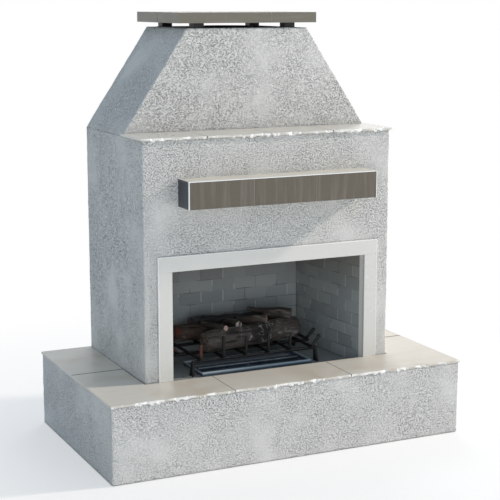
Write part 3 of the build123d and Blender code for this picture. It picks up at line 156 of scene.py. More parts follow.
mottle = mottle_group()
tooth = tooth_group()
tooth_strength = 0.6
coat_roughness = 0.12
roughness_swing = 0.08
least_roughness = 0.02


def finish(name, light, dark, roughness, metal=0.0, cloud=4.0, speckle=90.0, share=0.35, contrast=1.6,
           grain=300.0, height=0.0003, coat=0.0):
    """Material whose colour is mottled between two tints, a little rougher where it is dark, and whose
    surface has a fine tooth."""
    material = bpy.data.materials.new(name)
    material.use_nodes = True
    shader = material.node_tree.nodes["Principled BSDF"].inputs
    links = material.node_tree.links
    shader["Metallic"].default_value = metal
    shader["Coat Weight"].default_value = coat
    shader["Coat Roughness"].default_value = coat_roughness
    colour = add_node(material, "Group", node_tree=mottle, given={
        "Cloud size": cloud, "Speckle size": speckle, "Speckle share": share, "Contrast": contrast,
        "Light": tint(light), "Dark": tint(dark)}).outputs
    surface = add_node(material, "Group", node_tree=tooth, given={
        "Grain size": grain, "Height": height, "Strength": tooth_strength})
    rough = add_node(material, "MapRange", {
        "Value": colour["Mask"], "To Min": min(1.0, roughness + roughness_swing),
        "To Max": max(least_roughness, roughness - roughness_swing)})
    links.new(rough.outputs["Result"], shader["Roughness"])
    links.new(colour["Colour"], shader["Base Color"])
    links.new(surface.outputs["Normal"], shader["Normal"])
    return material


def coat_nodes(material, *names):
    """Every material slot of these solids gets this finish."""
    for name in names:
        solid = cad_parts[name]
        if not solid.material_slots:
            solid.data.materials.append(material)
        for slot in solid.material_slots:
            slot.material = material


def blend_over(material, mask, colour):
    """Mixes a second colour over a material's base colour by a mask."""
    base = material.node_tree.nodes["Principled BSDF"].inputs["Base Color"]
    mix = add_node(material, "Mix", {"Factor": mask, 6: base.links[0].from_socket, 7: tint(colour)},
                   data_type="RGBA")
    material.node_tree.links.new(mix.outputs[2], base)


def step_mask(material, value, low, high):
    """Mask that rises from 0 to 1 as a value goes from low to high, also where low is the larger."""
    ramp = add_node(material, "MapRange", {"Value": value, "From Min": low, "From Max": high})
    return ramp.outputs["Result"]


def stain(material, value, low, high, colour):
    """Colour laid over a material where a value passes from low to high."""
    blend_over(material, step_mask(material, value, low, high), colour)


zinc = finish("galvanised_zinc", "c3c7ca", "8d9396", 0.42, metal=0.9, cloud=9.0, speckle=60.0, share=0.5,
              contrast=2.4, grain=120.0, height=0.0001)
spangles_per_metre, spangle_edge = 55.0, (0.55, 0.9)
spangle = add_node(zinc, "TexVoronoi", {"Vector": position(zinc), "Scale": spangles_per_metre})
stain(zinc, spangle.outputs["Distance"], *spangle_edge, "9aa1a6")
coat_nodes(zinc, "hearth_frame", "body_frame", "hood_frame", "firebox_shell", "smoke_dome", "lintel_angle")

# Cement boards: sandy grey sheets screwed to the frames, closing hearth, body and hood. The cores of
# the mantel and the cap are cut from the same board.
board = finish("cement_board", "a3a39d", "7f807c", 0.92, cloud=6.0, speckle=220.0, share=0.6, grain=260.0,
               height=0.0006)
coat_nodes(board, "hearth_front_board", "hearth_side_boards", "hearth_back_board", "hearth_deck_board",
           "body_front_board", "body_side_boards", "body_back_board", "shoulder_board",
           "hood_front_back_boards", "hood_side_boards", "hood_top_board", "mantel_core", "cap_core")


# Render: a skin of coarse cement render trowelled on the boards, 6 mm thick, with softly rounded
# arrises. Its face is lumpy and full of small torn pits, which are painted a darker grey as painted shade.
lattice = 32


def lumps(points, size, seed):
    """Smooth random values from -1 to 1: a random lattice of that spacing, eased along each axis."""
    table = np.random.default_rng(seed).uniform(-1.0, 1.0, (lattice, lattice, lattice))
    scaled = points / size
    cell = np.floor(scaled).astype(int)
    part = scaled - cell
    part = part * part * (3.0 - 2.0 * part)
    total = np.zeros(points.shape[:-1])
    for corner in itertools.product((0, 1), repeat=3):
        weight = np.prod(np.where(np.array(corner) == 1, part, 1.0 - part), axis=-1)
        index = tuple((cell[..., axis] + corner[axis]) % lattice for axis in range(3))
        total += weight * table[index]
    return total


def grid_faces(rows, columns, closed=False):
    """Corner numbers of every square of a grid, row by row; a closed grid joins its last column to its
    first."""
    squares_across = columns if closed else columns - 1
    row, column = np.meshgrid(np.arange(rows - 1), np.arange(squares_across), indexing="ij")
    after = (column + 1) % columns
    corners = (row * columns + column, row * columns + after, (row + 1) * columns + after,
               (row + 1) * columns + column)
    return np.stack(corners, axis=-1).reshape(-1, 4)


def make_piece(name, points, faces, material, body="fireplace", marks=None, smooth=True):
    """Object of these points and faces, with a number per point for each mark, riding on a body."""
    mesh = bpy.data.meshes.new(name)
    mesh.from_pydata(np.asarray(points).reshape(-1, 3).tolist(), [], [list(map(int, f)) for f in faces])
    for label, values in (marks or {}).items():
        mark = mesh.attributes.new(label, "FLOAT", "POINT")
        mark.data.foreach_set("value", np.asarray(values, float).ravel())
    mesh.polygons.foreach_set("use_smooth", np.full(len(mesh.polygons), smooth))
    mesh.materials.append(material)
    mesh.update()
    piece = bpy.data.objects.new(name, mesh)
    scene.collection.objects.link(piece)
    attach(piece, body)
    return piece


def thicken(piece, thickness):
    """Gives an open surface its thickness, inwards from its face."""
    solidify = piece.modifiers.new("thickness", "SOLIDIFY")
    solidify.thickness = thickness
    solidify.offset = -1.0


def drop_loose_points(piece):
    """Drops the points that no face uses."""
    work = bmesh.new()
    work.from_mesh(piece.data)
    bmesh.ops.delete(work, geom=[v for v in work.verts if not v.link_faces], context="VERTS")
    work.to_mesh(piece.data)
    work.free()


def run(low, high, spacing):
    """Even steps from low to high, no longer than the spacing."""
    return np.linspace(low, high, max(2, int(math.ceil(abs(high - low) / spacing)) + 1))


def node_box(name):
    """Lowest and highest corner of a solid as arrays."""
    low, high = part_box(name)
    return np.array(low), np.array(high)


skin_thickness = 0.0055
skin_arris = 0.006
arris_steps = 6
wave_size, wave_height = 0.11, 0.0011
lump_size, lump_height = 0.034, 0.0008
tear_size, tear_height, tear_depth = 0.0145, 0.0009, 0.0012
tear_flattening = np.array((1.0, 1.0, 1.25))
tear_start = 0.25


def wall_line(half, front, back, counts, whole=True, radius=skin_arris):
    """Plan of the walls, from the back left corner round by the front: straight runs joined by quarter
    circles. Gives points and outward directions; whole closes it along the back."""
    corners = ((-half, back), (-half, front), (half, front), (half, back))
    ahead = ((0, -1), (1, 0), (0, 1), (-1, 0))
    points, outward = [], []
    for index in range(4 if whole else 3):
        start, end = np.array(corners[index]), np.array(corners[(index + 1) % 4])
        towards = np.array(ahead[index], float)
        out = np.array((towards[1], -towards[0]))
        trim_start = radius if whole or index > 0 else 0.0
        trim_end = radius if whole or index < 2 else 0.0
        share = np.linspace(0.0, 1.0, counts[index])[:, None]
        straight = end - start - towards * (trim_start + trim_end)
        points.append(start + towards * trim_start + share * straight)
        outward.append(np.repeat(out[None], counts[index], axis=0))
        if whole or index < 2:
            turn = np.linspace(0.0, math.pi / 2, arris_steps)[1:-1, None]
            turned = np.cos(turn) * out + np.sin(turn) * towards
            points.append(end - towards * radius - out * radius + turned * radius)
            outward.append(turned)
    return np.concatenate(points), np.concatenate(outward)


def trowelled(points):
    """Height of the render in metres: broad trowel waves, lumps and torn pits added together."""
    waves = wave_height * lumps(points, wave_size, seed=11)
    lumpy = lump_height * lumps(points, lump_size, seed=12)
    torn = lumps(points * tear_flattening, tear_size, seed=13)
    return waves + lumpy + tear_height * torn - tear_depth * np.clip(torn - tear_start, 0.0, 1.0)


def skin(name, plans, heights, closed=True, covered=None, node=None):
    """Render skin from one plan line per height: each point stands out by the trowelled height, but for
    the first and last line, and faces that something covers are left away."""
    lines = [np.concatenate((line, np.full((len(line), 1), z)), axis=1)
             for (line, out), z in zip(plans, heights)]
    outs = [np.concatenate((out, np.zeros((len(out), 1))), axis=1) for line, out in plans]
    points, outward = np.array(lines), np.array(outs)
    relief = trowelled(points)
    edge = np.ones(len(points))
    edge[[0, -1]] = 0.0
    points = points + outward * (relief * edge[:, None])[..., None]
    faces = grid_faces(points.shape[0], points.shape[1], closed)
    if covered:
        faces = faces[~covered(points.reshape(-1, 3)[faces].mean(axis=1))]
    piece = make_piece(name, points, faces, render)
    drop_loose_points(piece)
    thicken(piece, skin_thickness)
    if node:
        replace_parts(piece, node)


def bent_place(material, size, bend):
    """Object coordinates pushed about by noise of that size: its colour times the bend, plus the place."""
    push = noise(material, size).outputs["Color"]
    return add_node(material, "VectorMath", {0: push, 1: bend, 2: position(material)},
                    operation="MULTIPLY_ADD").outputs["Vector"]


def cell_edges(material, place, size):
    """Distance from the edges of random cells, that many to the metre."""
    return add_node(material, "TexVoronoi", {"Vector": place, "Scale": size},
                    feature="DISTANCE_TO_EDGE").outputs["Distance"]


render = finish("cement_render", "d9d8d5", "cccbc8", 0.93, cloud=2.4, speckle=260.0, share=0.45, contrast=1.1,
                grain=260.0, height=0.0012)
pits_per_metre, gaps_per_metre, patches_per_metre = 165.0, 175.0, 4.2
pit_bends_per_metre, pit_bend = 42.0, (0.014, 0.014, 0.004)
pit_drag = (0.4, 0.4, 1.15)
pit_edge, pit_gap, pit_patch, fleck = (0.16, 0.05), (0.48, 0.58), (0.28, 0.6), (0.42, 0.3)
pit_depth, pit_strength = 0.0052, 0.9
pit_gaps = noise(render, gaps_per_metre).outputs["Fac"]
pit_patches = noise(render, patches_per_metre, detail=3.0).outputs["Fac"]
dragged = add_node(render, "Mapping", {"Vector": bent_place(render, pit_bends_per_metre, pit_bend),
                                       "Scale": pit_drag}).outputs["Vector"]
pit_edges = step_mask(render, cell_edges(render, dragged, pits_per_metre), *pit_edge)
worms = reckon(render, "MULTIPLY", pit_edges, step_mask(render, pit_gaps, *pit_gap))
torn_pits = reckon(render, "MULTIPLY", worms, step_mask(render, pit_patches, *pit_patch))
# The torn pits are tinted darker grey: painted shade in the hollows. The bump below gives their real relief.
blend_over(render, torn_pits, "a6a8a7")
stain(render, pit_gaps, *fleck, "e6e6e3")
render_normal = render.node_tree.nodes["Principled BSDF"].inputs["Normal"]
pitted = add_node(render, "Bump", {"Height": torn_pits, "Distance": pit_depth, "Strength": pit_strength,
                                   "Normal": render_normal.links[0].from_socket}, invert=True)
render.node_tree.links.new(pitted.outputs["Normal"], render_normal)

hearth_low, hearth_high = node_box("hearth_stucco")
door_low, door_high = node_box("access_door_frame")
vent_low, vent_high = node_box("vent_louvres")
rim_lap = 0.021
vent_inner = 0.291
rear_skin = 0.004


def behind_hardware(centres):
    """True at the rear where the door frame and the two vents let into the skin cover it."""
    side, z = np.abs(centres[:, 0]), centres[:, 2]
    door = (side < door_high[0] - rim_lap) & (z > door_low[2] + rim_lap) & (z < door_high[2] - rim_lap)
    vent = (side > vent_inner) & (side < vent_high[0] - rim_lap)
    vent &= (z > vent_low[2] + rim_lap) & (z < vent_high[2] - rim_lap)
    return (centres[:, 1] > hearth_high[1] - rear_skin) & (door | vent)


hearth_step = 0.007
hearth_counts = (140, 246, 140, 246)
hearth_plan = wall_line(hearth_high[0], hearth_low[1], hearth_high[1], hearth_counts)
hearth_heights = run(hearth_low[2], hearth_high[2], hearth_step)
skin("hearth_render", [hearth_plan] * len(hearth_heights), hearth_heights, covered=behind_hardware,
     node="hearth_stucco")

body_low, body_high = node_box("body_stucco")
trim_low, trim_high = node_box("surround_trim")
body_step = 0.008
body_counts = (92, 154, 92)
front_reach, flat_front = 0.05, 0.0005
far_away = 9.0
body_heights = np.concatenate((run(body_low[2], trim_high[2], body_step),
                               run(trim_high[2], body_high[2], body_step)[1:]))


def body_front_plan():
    """Plan of sides and front, where the front point nearest each edge of the surround moves onto it."""
    line, out = wall_line(body_high[0], body_low[1], body_high[1], body_counts, whole=False)
    behind = line[:, 1] > body_low[1] + flat_front
    for edge in (trim_low[0], trim_high[0]):
        near = np.argmin(np.abs(line[:, 0] - edge) + far_away * behind)
        line[near, 0] = edge
    return line, out


def behind_surround(centres):
    """True where the surround is let into the front of the skin."""
    inside = (np.abs(centres[:, 0]) < trim_high[0]) & (centres[:, 2] < trim_high[2])
    return inside & (centres[:, 1] < body_low[1] + front_reach)


skin("body_render", [body_front_plan()] * len(body_heights), body_heights, closed=False,
     covered=behind_surround, node="body_stucco")
rear_x = run(body_high[0], body_low[0], body_step)
rear_line = (np.stack((rear_x, np.full_like(rear_x, body_high[1])), axis=1),
             np.repeat([[0.0, 1.0]], len(rear_x), 0))
skin("body_rear_render", [rear_line] * len(body_heights), body_heights, closed=False)

# Hood render: the same skin leans in from a short kerb at the ledge to the chimney top, and turns over
# onto the top round the steel plate.
hood_low, hood_high = node_box("hood_stucco")
plate_low, plate_high = node_box("chimney_top_plate")
shoulder_low, shoulder_high = node_box("shoulder_tiles")
hood_top_half = 0.3015
hood_step = 0.0075
hood_counts = (62, 130, 62, 130)
hood_set_in, hood_set_down = 0.0004, 0.0006
plate_gap = 0.0003
arris_loss = 0.0055
top_fall = 0.0002
hood_heights = run(shoulder_high[2], hood_high[2], hood_step)
hood_plans = [wall_line(body_high[0] - hood_set_in, hood_low[1], hood_high[1], hood_counts)]
for z in hood_heights:
    rise = max(0.0, z - shoulder_high[2]) / (hood_high[2] - shoulder_high[2])
    half = hood_high[0] + (hood_top_half - hood_high[0]) * rise
    hood_plans.append(wall_line(half, hood_low[1], hood_high[1], hood_counts))
hood_rows = [body_high[2] - hood_set_down, *hood_heights]
for share in (0.2, 0.5, 0.8, 1.0):
    half = hood_top_half + (plate_high[0] + plate_gap - hood_top_half) * share
    front = hood_low[1] + (plate_low[1] - plate_gap - hood_low[1]) * share
    rear = hood_high[1] + (plate_high[1] + plate_gap - hood_high[1]) * share
    hood_plans.append(wall_line(half, front, rear, hood_counts, radius=skin_arris - arris_loss * share))
    hood_rows.append(hood_high[2] - top_fall * share)
skin("hood_render", hood_plans, hood_rows, node="hood_stucco")


# Hearth and ledge tiles: cream porcelain slabs with a soft gloss and faint lengthwise streaks, laid in
# dark joint filler. The front edges of hearth and ledge are cracked and chipped down to the pale body.
def streak_group():
    """Streaks: noise over coordinates stretched along each axis by its own scale, as a mask."""
    group, given, result = effect_group("streaks", {"Sharpness": "Float", "Stretch": "Vector"},
                                        {"Mask": "Float"})
    stretched = add_node(group, "Mapping", {"Vector": position(group), "Scale": given["Stretch"]})
    waves = noise(group, 1.0, detail=6.0, place=stretched.outputs["Vector"]).outputs["Fac"]
    group.links.new(spread(group, waves, given["Sharpness"]), result["Mask"])
    return group


streaks = streak_group()


def streak(material, stretch, sharpness, low, high, colour):
    """Streaks of a colour, with that many waves per metre along x, y and z."""
    use = add_node(material, "Group", {"Stretch": stretch, "Sharpness": sharpness}, node_tree=streaks)
    stain(material, use.outputs["Mask"], low, high, colour)


def point_mark(material, label):
    """Number that each point of the mesh carries under that name."""
    return add_node(material, "Attribute", attribute_name=label).outputs["Fac"]


def whiten_breaks(material):
    """Broken edges show the pale body of the tile; sides in a joint are dark with filler."""
    stain(material, point_mark(material, "broken"), 0.25, 0.6, "efeeea")
    stain(material, point_mark(material, "stain"), 0.35, 0.9, "55524e")


cream = finish("cream_tile", "d7d2c9", "cac4ba", 0.4, cloud=3.0, speckle=24.0, share=0.15, contrast=1.1,
               grain=60.0, height=0.00003, coat=0.08)
streak(cream, (2.5, 20.0, 2.0), 1.6, 0.5, 1.2, "c9c0b4")
clouded = noise(cream, 3.2, detail=2.5, Distortion=0.8).outputs["Fac"]
stain(cream, clouded, 0.5, 0.8, "beb1a1")
whiten_breaks(cream)
cream_reflection = 0.3
cream.node_tree.nodes["Principled BSDF"].inputs["Specular IOR Level"].default_value = cream_reflection
ledge_cream = finish("ledge_tile", "dcd8d0", "cbc6bd", 0.3, cloud=3.0, speckle=40.0, share=0.3, contrast=1.2,
                     grain=80.0, height=0.0001, coat=0.15)
whiten_breaks(ledge_cream)
grout = finish("joint_filler", "6b6864", "4a4846", 0.95, cloud=20.0, speckle=300.0, grain=400.0,
               height=0.0004)
coat_nodes(grout, "hearth_grout")

outline_step = 0.003
hearth_chip, ledge_chip = 0.009, 0.011
bite_size, coarse_share, fine_share = 0.024, 2.1, 0.55
bite_start, small_bite_start, small_bite_share = 0.05, 0.2, 0.45
bite_slant, bite_drop, deepest = 0.004, 0.75, 1.2
flake_size, small_flake_size, small_flake_share, flake_drop = 0.017, 0.006, 0.6, 0.006
patch_size, patch_cover, patch_share = 0.045, 0.55, 0.65
top_from, foot_to, flake_to = 0.9, 0.1, 0.5
whitening = 1.6
filler_side, filler_top, filler_fade = 0.0004, 0.004, 0.8
straight_on = 0.999
tile_arris = 0.0012
free_edge = 0.003
edge_profile_shares = ((0.0, 0.2), (0.35, 0.6), (0.7, 0.9))
top_profile = ((0.0005, 1.0), (0.003, 0.8), (0.007, 0.35), (0.014, 0.0))


def edge_path(corners):
    """Points every few millimetres along a closed plan outline run anticlockwise, with an inward vector
    at each that runs evenly from one corner's mitre to the next, so that an inset stays parallel."""
    corners = [np.array(corner, float) for corner in corners]
    steps = [corners[(index + 1) % len(corners)] - start for index, start in enumerate(corners)]
    normals = [np.array((-step[1], step[0])) / np.linalg.norm(step) for step in steps]
    mitres = [(normal + normals[index - 1]) / (1.0 + normal @ normals[index - 1])
              for index, normal in enumerate(normals)]
    faces_front = [normal[1] > 0.9 for normal in normals]
    points, inward, front = [], [], []
    for index, (start, step) in enumerate(zip(corners, steps)):
        count = max(1, int(np.linalg.norm(step) / outline_step))
        share = np.arange(count)[:, None] / count
        points.append(start + step * share)
        inward.append(mitres[index] * (1.0 - share) + mitres[(index + 1) % len(corners)] * share)
        front.append(faces_front[index] | ((share[:, 0] == 0.0) & faces_front[index - 1]))
    return np.concatenate(points), np.concatenate(inward), np.concatenate(front).astype(float)


def bites(points):
    """Depth of small bites along an edge: the tops of two layers of lattice noise."""
    coarse = np.clip(lumps(points, bite_size * coarse_share, seed=21) - bite_start, 0.0, 1.0)
    fine = np.clip(lumps(points, bite_size * fine_share, seed=22), 0.0, 1.0)
    return coarse * (0.5 + fine) + small_bite_share * np.clip(fine - small_bite_start, 0.0, 1.0)


def broken_slab(name, corners, bottom, top, material, chip, outer, broken_front=True):
    """Tile of any plan outline: rings follow a profile up its side, over the arris and inwards, and bites
    push the front points back and down; the two faces close it. Sides that stand nearer than the
    free edge to the outer limits in x and y carry no filler."""
    line, inward, front = edge_path(corners)
    height = top - bottom
    profile = [(0.0, share, weight) for share, weight in edge_profile_shares]
    profile.append((0.0, 1.0 - tile_arris / height, 1.0))
    profile.extend((inset, 1.0, weight) for inset, weight in top_profile)
    rings, marks, stains = [], [], []
    bite_here = front * float(broken_front)
    for inset, share, weight in profile:
        flat = line + inward * inset
        ring = np.concatenate((flat, np.full((len(flat), 1), bottom + share * height)), axis=1)
        across = ring * np.array((1.0, 0.0, 0.0))
        bite = bites(across + np.array((0.0, 0.0, bite_slant * share))) * weight * bite_here
        flake = lumps(across, flake_size, seed=24)
        flake = flake + small_flake_share * lumps(across, small_flake_size, seed=25)
        flake = np.clip(flake, 0.0, deepest) * bite_here
        ring[:, 1] += chip * bite
        ring[:, 2] -= bite_drop * min(chip, height) * np.clip(bite, 0.0, deepest) * (share > top_from)
        ring[:, 2] -= flake_drop * flake * (share < foot_to)
        rings.append(ring)
        patch = np.clip(patch_cover + lumps(across, patch_size, seed=26), 0.0, 1.0)
        patch = patch * weight * bite_here
        marks.append(np.clip(bite * whitening + flake * (share < flake_to) + patch_share * patch, 0.0, 1.0))
        square_side = np.abs(inward[:, 1]) > straight_on
        beside = filler_fade * (filler_side < inset < filler_top) * square_side
        depth = float(inset < filler_side) + beside
        jointed = (outer[0] - np.abs(flat[:, 0]) > free_edge) & (outer[1] - flat[:, 1] > free_edge)
        stains.append((1.0 - bite_here) * depth * jointed)
    count = len(line)
    faces = grid_faces(len(profile), count, True).tolist()
    for ring, start, turn in ((rings[0], 0, -1), (rings[-1], (len(profile) - 1) * count, 1)):
        flat = [Vector(point[:2]) for point in ring]
        fill = delaunay_2d_cdt(flat, [], [list(range(count))], 1, 1e-7)[2]
        faces.extend([start + corner for corner in face][::turn] for face in fill)
    return make_piece(name, rings, faces, material, smooth=False,
                      marks={"broken": np.array(marks), "stain": np.array(stains)})


def rectangle(left, right, front, rear):
    """Plan corners of a rectangle, anticlockwise from its front left."""
    return ((left, front), (right, front), (right, rear), (left, rear))


# The front row has two joints, and its outer tiles run back beside the body as far as the wings' joint.
tile_low, tile_high = node_box("hearth_tiles")
tile_thickness = 0.0097
half_joint = 0.0016
row_left, row_right = -0.294, 0.282
wing_joint = 0.0289
cut_x, cut_y = 0.6126, -0.24885
wing_front, side_rear = wing_joint + half_joint, wing_joint - half_joint
tile_plans = {
    "front_left": ((tile_low[0], tile_low[1]), (row_left - half_joint, tile_low[1]),
                   (row_left - half_joint, cut_y), (-cut_x, cut_y), (-cut_x, side_rear),
                   (tile_low[0], side_rear)),
    "front_middle": rectangle(row_left + half_joint, row_right - half_joint, tile_low[1], cut_y),
    "front_right": ((row_right + half_joint, tile_low[1]), (tile_high[0], tile_low[1]),
                    (tile_high[0], side_rear), (cut_x, side_rear), (cut_x, cut_y),
                    (row_right + half_joint, cut_y)),
    "wing_left": rectangle(tile_low[0], -cut_x, wing_front, tile_high[1]),
    "wing_right": rectangle(cut_x, tile_high[0], wing_front, tile_high[1]),
}
hearth_slabs = [broken_slab("hearth_tile." + place, plan, tile_high[2] - tile_thickness, tile_high[2], cream,
                            hearth_chip, tile_high, "front" in place) for place, plan in tile_plans.items()]
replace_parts(hearth_slabs[0], "hearth_tiles")
ledge_count = 4
tile_joint = 0.0032
ledge_rear_limit = 1.0
ledge_length = (shoulder_high[0] - shoulder_low[0] - (ledge_count - 1) * tile_joint) / ledge_count
ledge_slabs = []
for index in range(ledge_count):
    start = shoulder_low[0] + index * (ledge_length + tile_joint)
    plan = rectangle(start, start + ledge_length, shoulder_low[1], shoulder_high[1])
    ledge_slabs.append(broken_slab(f"shoulder_tile.{index}", plan, shoulder_low[2], shoulder_high[2],
                                   ledge_cream, ledge_chip, (shoulder_high[0], ledge_rear_limit)))
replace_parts(ledge_slabs[0], "shoulder_tiles")

# Surround: three smooth off-white porcelain tiles round the opening, with a fine white metal edge
# profile outside and pale board linings turned into the opening.
def round_arris(name, width):
    """Small rounded arris on the sharp edges of a solid."""
    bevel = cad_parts[name].modifiers.new("arris", "BEVEL")
    bevel.width = width
    bevel.segments = 2
    bevel.limit_method = "ANGLE"


glazed_arris = 0.0006
white_tile = finish("surround_tile", "dedcd7", "d3d2cd", 0.26, cloud=2.0, speckle=50.0, share=0.2,
                    contrast=1.1, grain=60.0, height=0.00006, coat=0.2)
trim = finish("white_trim", "fafaf8", "f0f0ee", 0.35, cloud=8.0, speckle=60.0, share=0.3, contrast=1.0,
              grain=200.0, height=0.00005)
lining = finish("jamb_lining", "f0f0ec", "dfdfdb", 0.85, cloud=9.0, speckle=160.0, share=0.5, grain=300.0,
                height=0.0003)
coat_nodes(white_tile, "surround_head", "surround_legs")
coat_nodes(trim, "surround_trim", "mantel_trim")
coat_nodes(lining, "jamb_linings")
round_arris("surround_head", glazed_arris)
round_arris("surround_legs", glazed_arris)

# Mantel: a box of cement board faced with taupe tiles in front and end tiles on its ends, edged with
# white profile. The sides of the end tiles are painted dark bluish grey as painted shade with painted
# reflection, and their tops are cream. The tiles have a fine vertical grain under a satin glaze.
taupe = finish("taupe_tile", "655e52", "595247", 0.38, cloud=3.0, speckle=70.0, share=0.4, contrast=1.4,
               grain=90.0, height=0.0001, coat=0.1)
streak(taupe, (45.0, 2.0, 3.0), 2.0, 0.55, 1.5, "847b71")
streak(taupe, (120.0, 2.0, 9.0), 2.6, 0.6, 1.6, "544d47")
end_tile_shade = finish("slate_tile", "3a4149", "282d33", 0.34, cloud=5.0, speckle=90.0, share=0.4, contrast=1.6,
               grain=90.0, height=0.0001, coat=0.1)
streak(end_tile_shade, (2.0, 60.0, 5.0), 2.6, 0.5, 1.4, "4b535c")
# The end tiles' sides keep the dark bluish grey, which is painted shade with painted reflection. Faces that
# look upwards take cream.
end_tile_facing = add_node(end_tile_shade, "NewGeometry").outputs["Normal"]
stain(end_tile_shade, along(end_tile_shade, "Z", end_tile_facing), 0.6, 0.8, "d9d3c8")
coat_nodes(taupe, "mantel_front_tiles")
coat_nodes(end_tile_shade, "mantel_return_tiles")
round_arris("mantel_front_tiles", glazed_arris)
round_arris("mantel_return_tiles", glazed_arris)
pale_filler = finish("pale_joint_filler", "98938a", "87827a", 0.9, cloud=20.0, speckle=260.0, grain=400.0,
                     height=0.0003)
strip_columns = 7
filler_gap, filler_set_back, filler_inset = 0.0001, 0.0004, 0.0003


def joint_strip(name, left, front, back, bottom, top):
    """Pointed joint: a strip between two tiles whose front sinks as a shallow arc across its width."""
    left, right = left + filler_gap, left + tile_joint - filler_gap
    across = np.linspace(0.0, 1.0, strip_columns)
    upward = run(bottom + filler_inset, top - filler_inset, 0.01)
    face = np.empty((len(upward), strip_columns, 3))
    face[..., 0] = left + (right - left) * across
    face[..., 1] = front + filler_set_back + filler_inset * (1.0 - (2.0 * across - 1.0) ** 2)
    face[..., 2] = upward[:, None]
    rear = face[:, ::-1].copy()
    rear[..., 1] = back
    ring = np.concatenate((face, rear), axis=1)
    around = 2 * strip_columns
    faces = grid_faces(len(upward), around, True).tolist()
    faces.append(list(reversed(range(around))))
    faces.append([(len(upward) - 1) * around + i for i in range(around)])
    make_piece(name, ring, faces, pale_filler)


def front_joints(name, low, high, back):
    """Joints between three equal tiles that fill a box along x."""
    length = (high[0] - low[0] - 2 * tile_joint) / 3
    for index in (1, 2):
        left = low[0] + index * length + (index - 1) * tile_joint
        joint_strip(f"{name}.{index}", left, low[1], back, low[2], high[2])


mantel_low, mantel_high = node_box("mantel_front_tiles")
front_joints("mantel_joint", mantel_low, mantel_high, mantel_high[1] - filler_inset)

# Firebox: cast fire-clay panels that show a running bond of small bricks: one behind, two splayed at
# the sides, and a plain slab under the fire. Each brick is a little rough and stands at its own height.
firebrick = finish("fire_brick", "9fa5a6", "8d9395", 0.93, cloud=7.0, speckle=150.0, share=0.5, contrast=1.6,
                   grain=200.0, height=0.001)
brick_mark = point_mark(firebrick, "brick")
stain(firebrick, brick_mark, 0.45, 2.6, "c0c1bb")
stain(firebrick, brick_mark, 0.5, -1.2, "717472")
stain(firebrick, point_mark(firebrick, "joint"), 0.3, 1.0, "636665")
stain(firebrick, point_mark(firebrick, "upright"), 0.2, 0.8, "c4c5bf")
soot_low, soot_high = 0.6, 1.0
stain(firebrick, along(firebrick, "Z"), soot_low, soot_high, "7b745f")
coat_nodes(firebrick, "firebox_floor_panel")
back_low, back_high = node_box("firebox_back_panel")
brick_length, brick_height, brick_joint = 0.118, 0.0582, 0.004
brick_columns, brick_rows = 32, 16
brick_step, groove_depth = 0.0008, 0.0016
bend_along, along_size, bend_up, up_size = 0.0016, 0.025, 0.0014, 0.03
coarse_height, coarse_size, fine_height, grain_size = 0.0007, 0.02, 0.0004, 0.008
pale_size, lost_size = 0.06, 0.07
panel_thickness = 0.030


def brick_panel(name, start, end, first_even, first_odd):
    """Panel between two plan points, facing the side on the right of its run: a grid whose height is the
    brick's own random height plus lumps, less a rounded groove along every joint. The first upright
    joint of even and of odd courses is given, and some joints are lost in soot."""
    start, end = np.array(start, float), np.array(end, float)
    length = np.linalg.norm(end - start)
    ahead = (end - start) / length
    inward = np.array((ahead[1], -ahead[0]))
    tall = back_high[2] - back_low[2]
    u_step, v_step = brick_length / brick_columns, brick_height / brick_rows
    u_lines = np.arange(first_even % u_step, length - 0.4 * u_step, u_step)
    v_lines = np.arange(v_step, tall - 0.4 * v_step, v_step)
    u, v = np.meshgrid(np.concatenate(([0.0], u_lines[u_lines > 0.4 * u_step], [length])),
                       np.concatenate(([0.0], v_lines, [tall])))
    flat = np.stack((u, v, np.zeros_like(u)), axis=-1)
    u_bent = u + bend_along * lumps(flat, along_size, seed=34)
    v_bent = v + bend_up * lumps(flat, up_size, seed=35)
    row = np.floor(v_bent / brick_height).astype(int)
    u_bricks = (u_bent - np.where(row % 2 == 0, first_even, first_odd)) / brick_length
    column = np.floor(u_bricks).astype(int)
    du = np.abs(u_bricks - np.round(u_bricks)) * brick_length
    dv = np.abs(v_bent / brick_height - np.round(v_bent / brick_height)) * brick_height
    groove = 1.0 - np.clip((np.minimum(du, dv) - brick_joint * 0.2) / (brick_joint * 0.65), 0.0, 1.0)
    upright = groove * (du < dv) * (lumps(flat, pale_size, seed=36) > 0.1)
    shown = np.clip(0.7 + 1.1 * lumps(flat, lost_size, seed=37), 0.1, 1.0)
    tone = np.random.default_rng(31).uniform(0.0, 1.0, (40, 40))[row % 40, column % 40]
    points = np.stack((start[0] + ahead[0] * u, start[1] + ahead[1] * u, back_low[2] + v), axis=-1)
    rough = coarse_height * lumps(points, coarse_size, seed=32)
    rough = rough + fine_height * lumps(points, grain_size, seed=33)
    height = brick_step * (tone - 0.5) + rough - groove_depth * groove
    points[..., :2] += inward * height[..., None]
    piece = make_piece(name, points, grid_faces(*u.shape), firebrick,
                       marks={"joint": groove * shown, "brick": tone, "upright": upright})
    thicken(piece, panel_thickness)
    return piece


# The side panels run from behind the surround to the ends of the back panel.
splay_front_x, splay_front_y, splay_rear_x = 0.484, -0.209, 0.431
splay_rear_y = back_low[1]
back_even, back_odd = 0.0255, -0.033
side_even, side_odd = 0.077, 0.015
side_length = math.hypot(splay_front_x - splay_rear_x, splay_rear_y - splay_front_y)
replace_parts(brick_panel("brick_back", (-splay_rear_x, splay_rear_y), (splay_rear_x, splay_rear_y),
                        splay_rear_x + back_even, splay_rear_x + back_odd), "firebox_back_panel")
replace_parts(brick_panel("brick_right", (splay_rear_x, splay_rear_y), (splay_front_x, splay_front_y),
                        side_even, side_odd), "firebox_side_panels")
brick_panel("brick_left", (-splay_front_x, splay_front_y), (-splay_rear_x, splay_rear_y),
            side_length - side_even, side_length - side_odd)

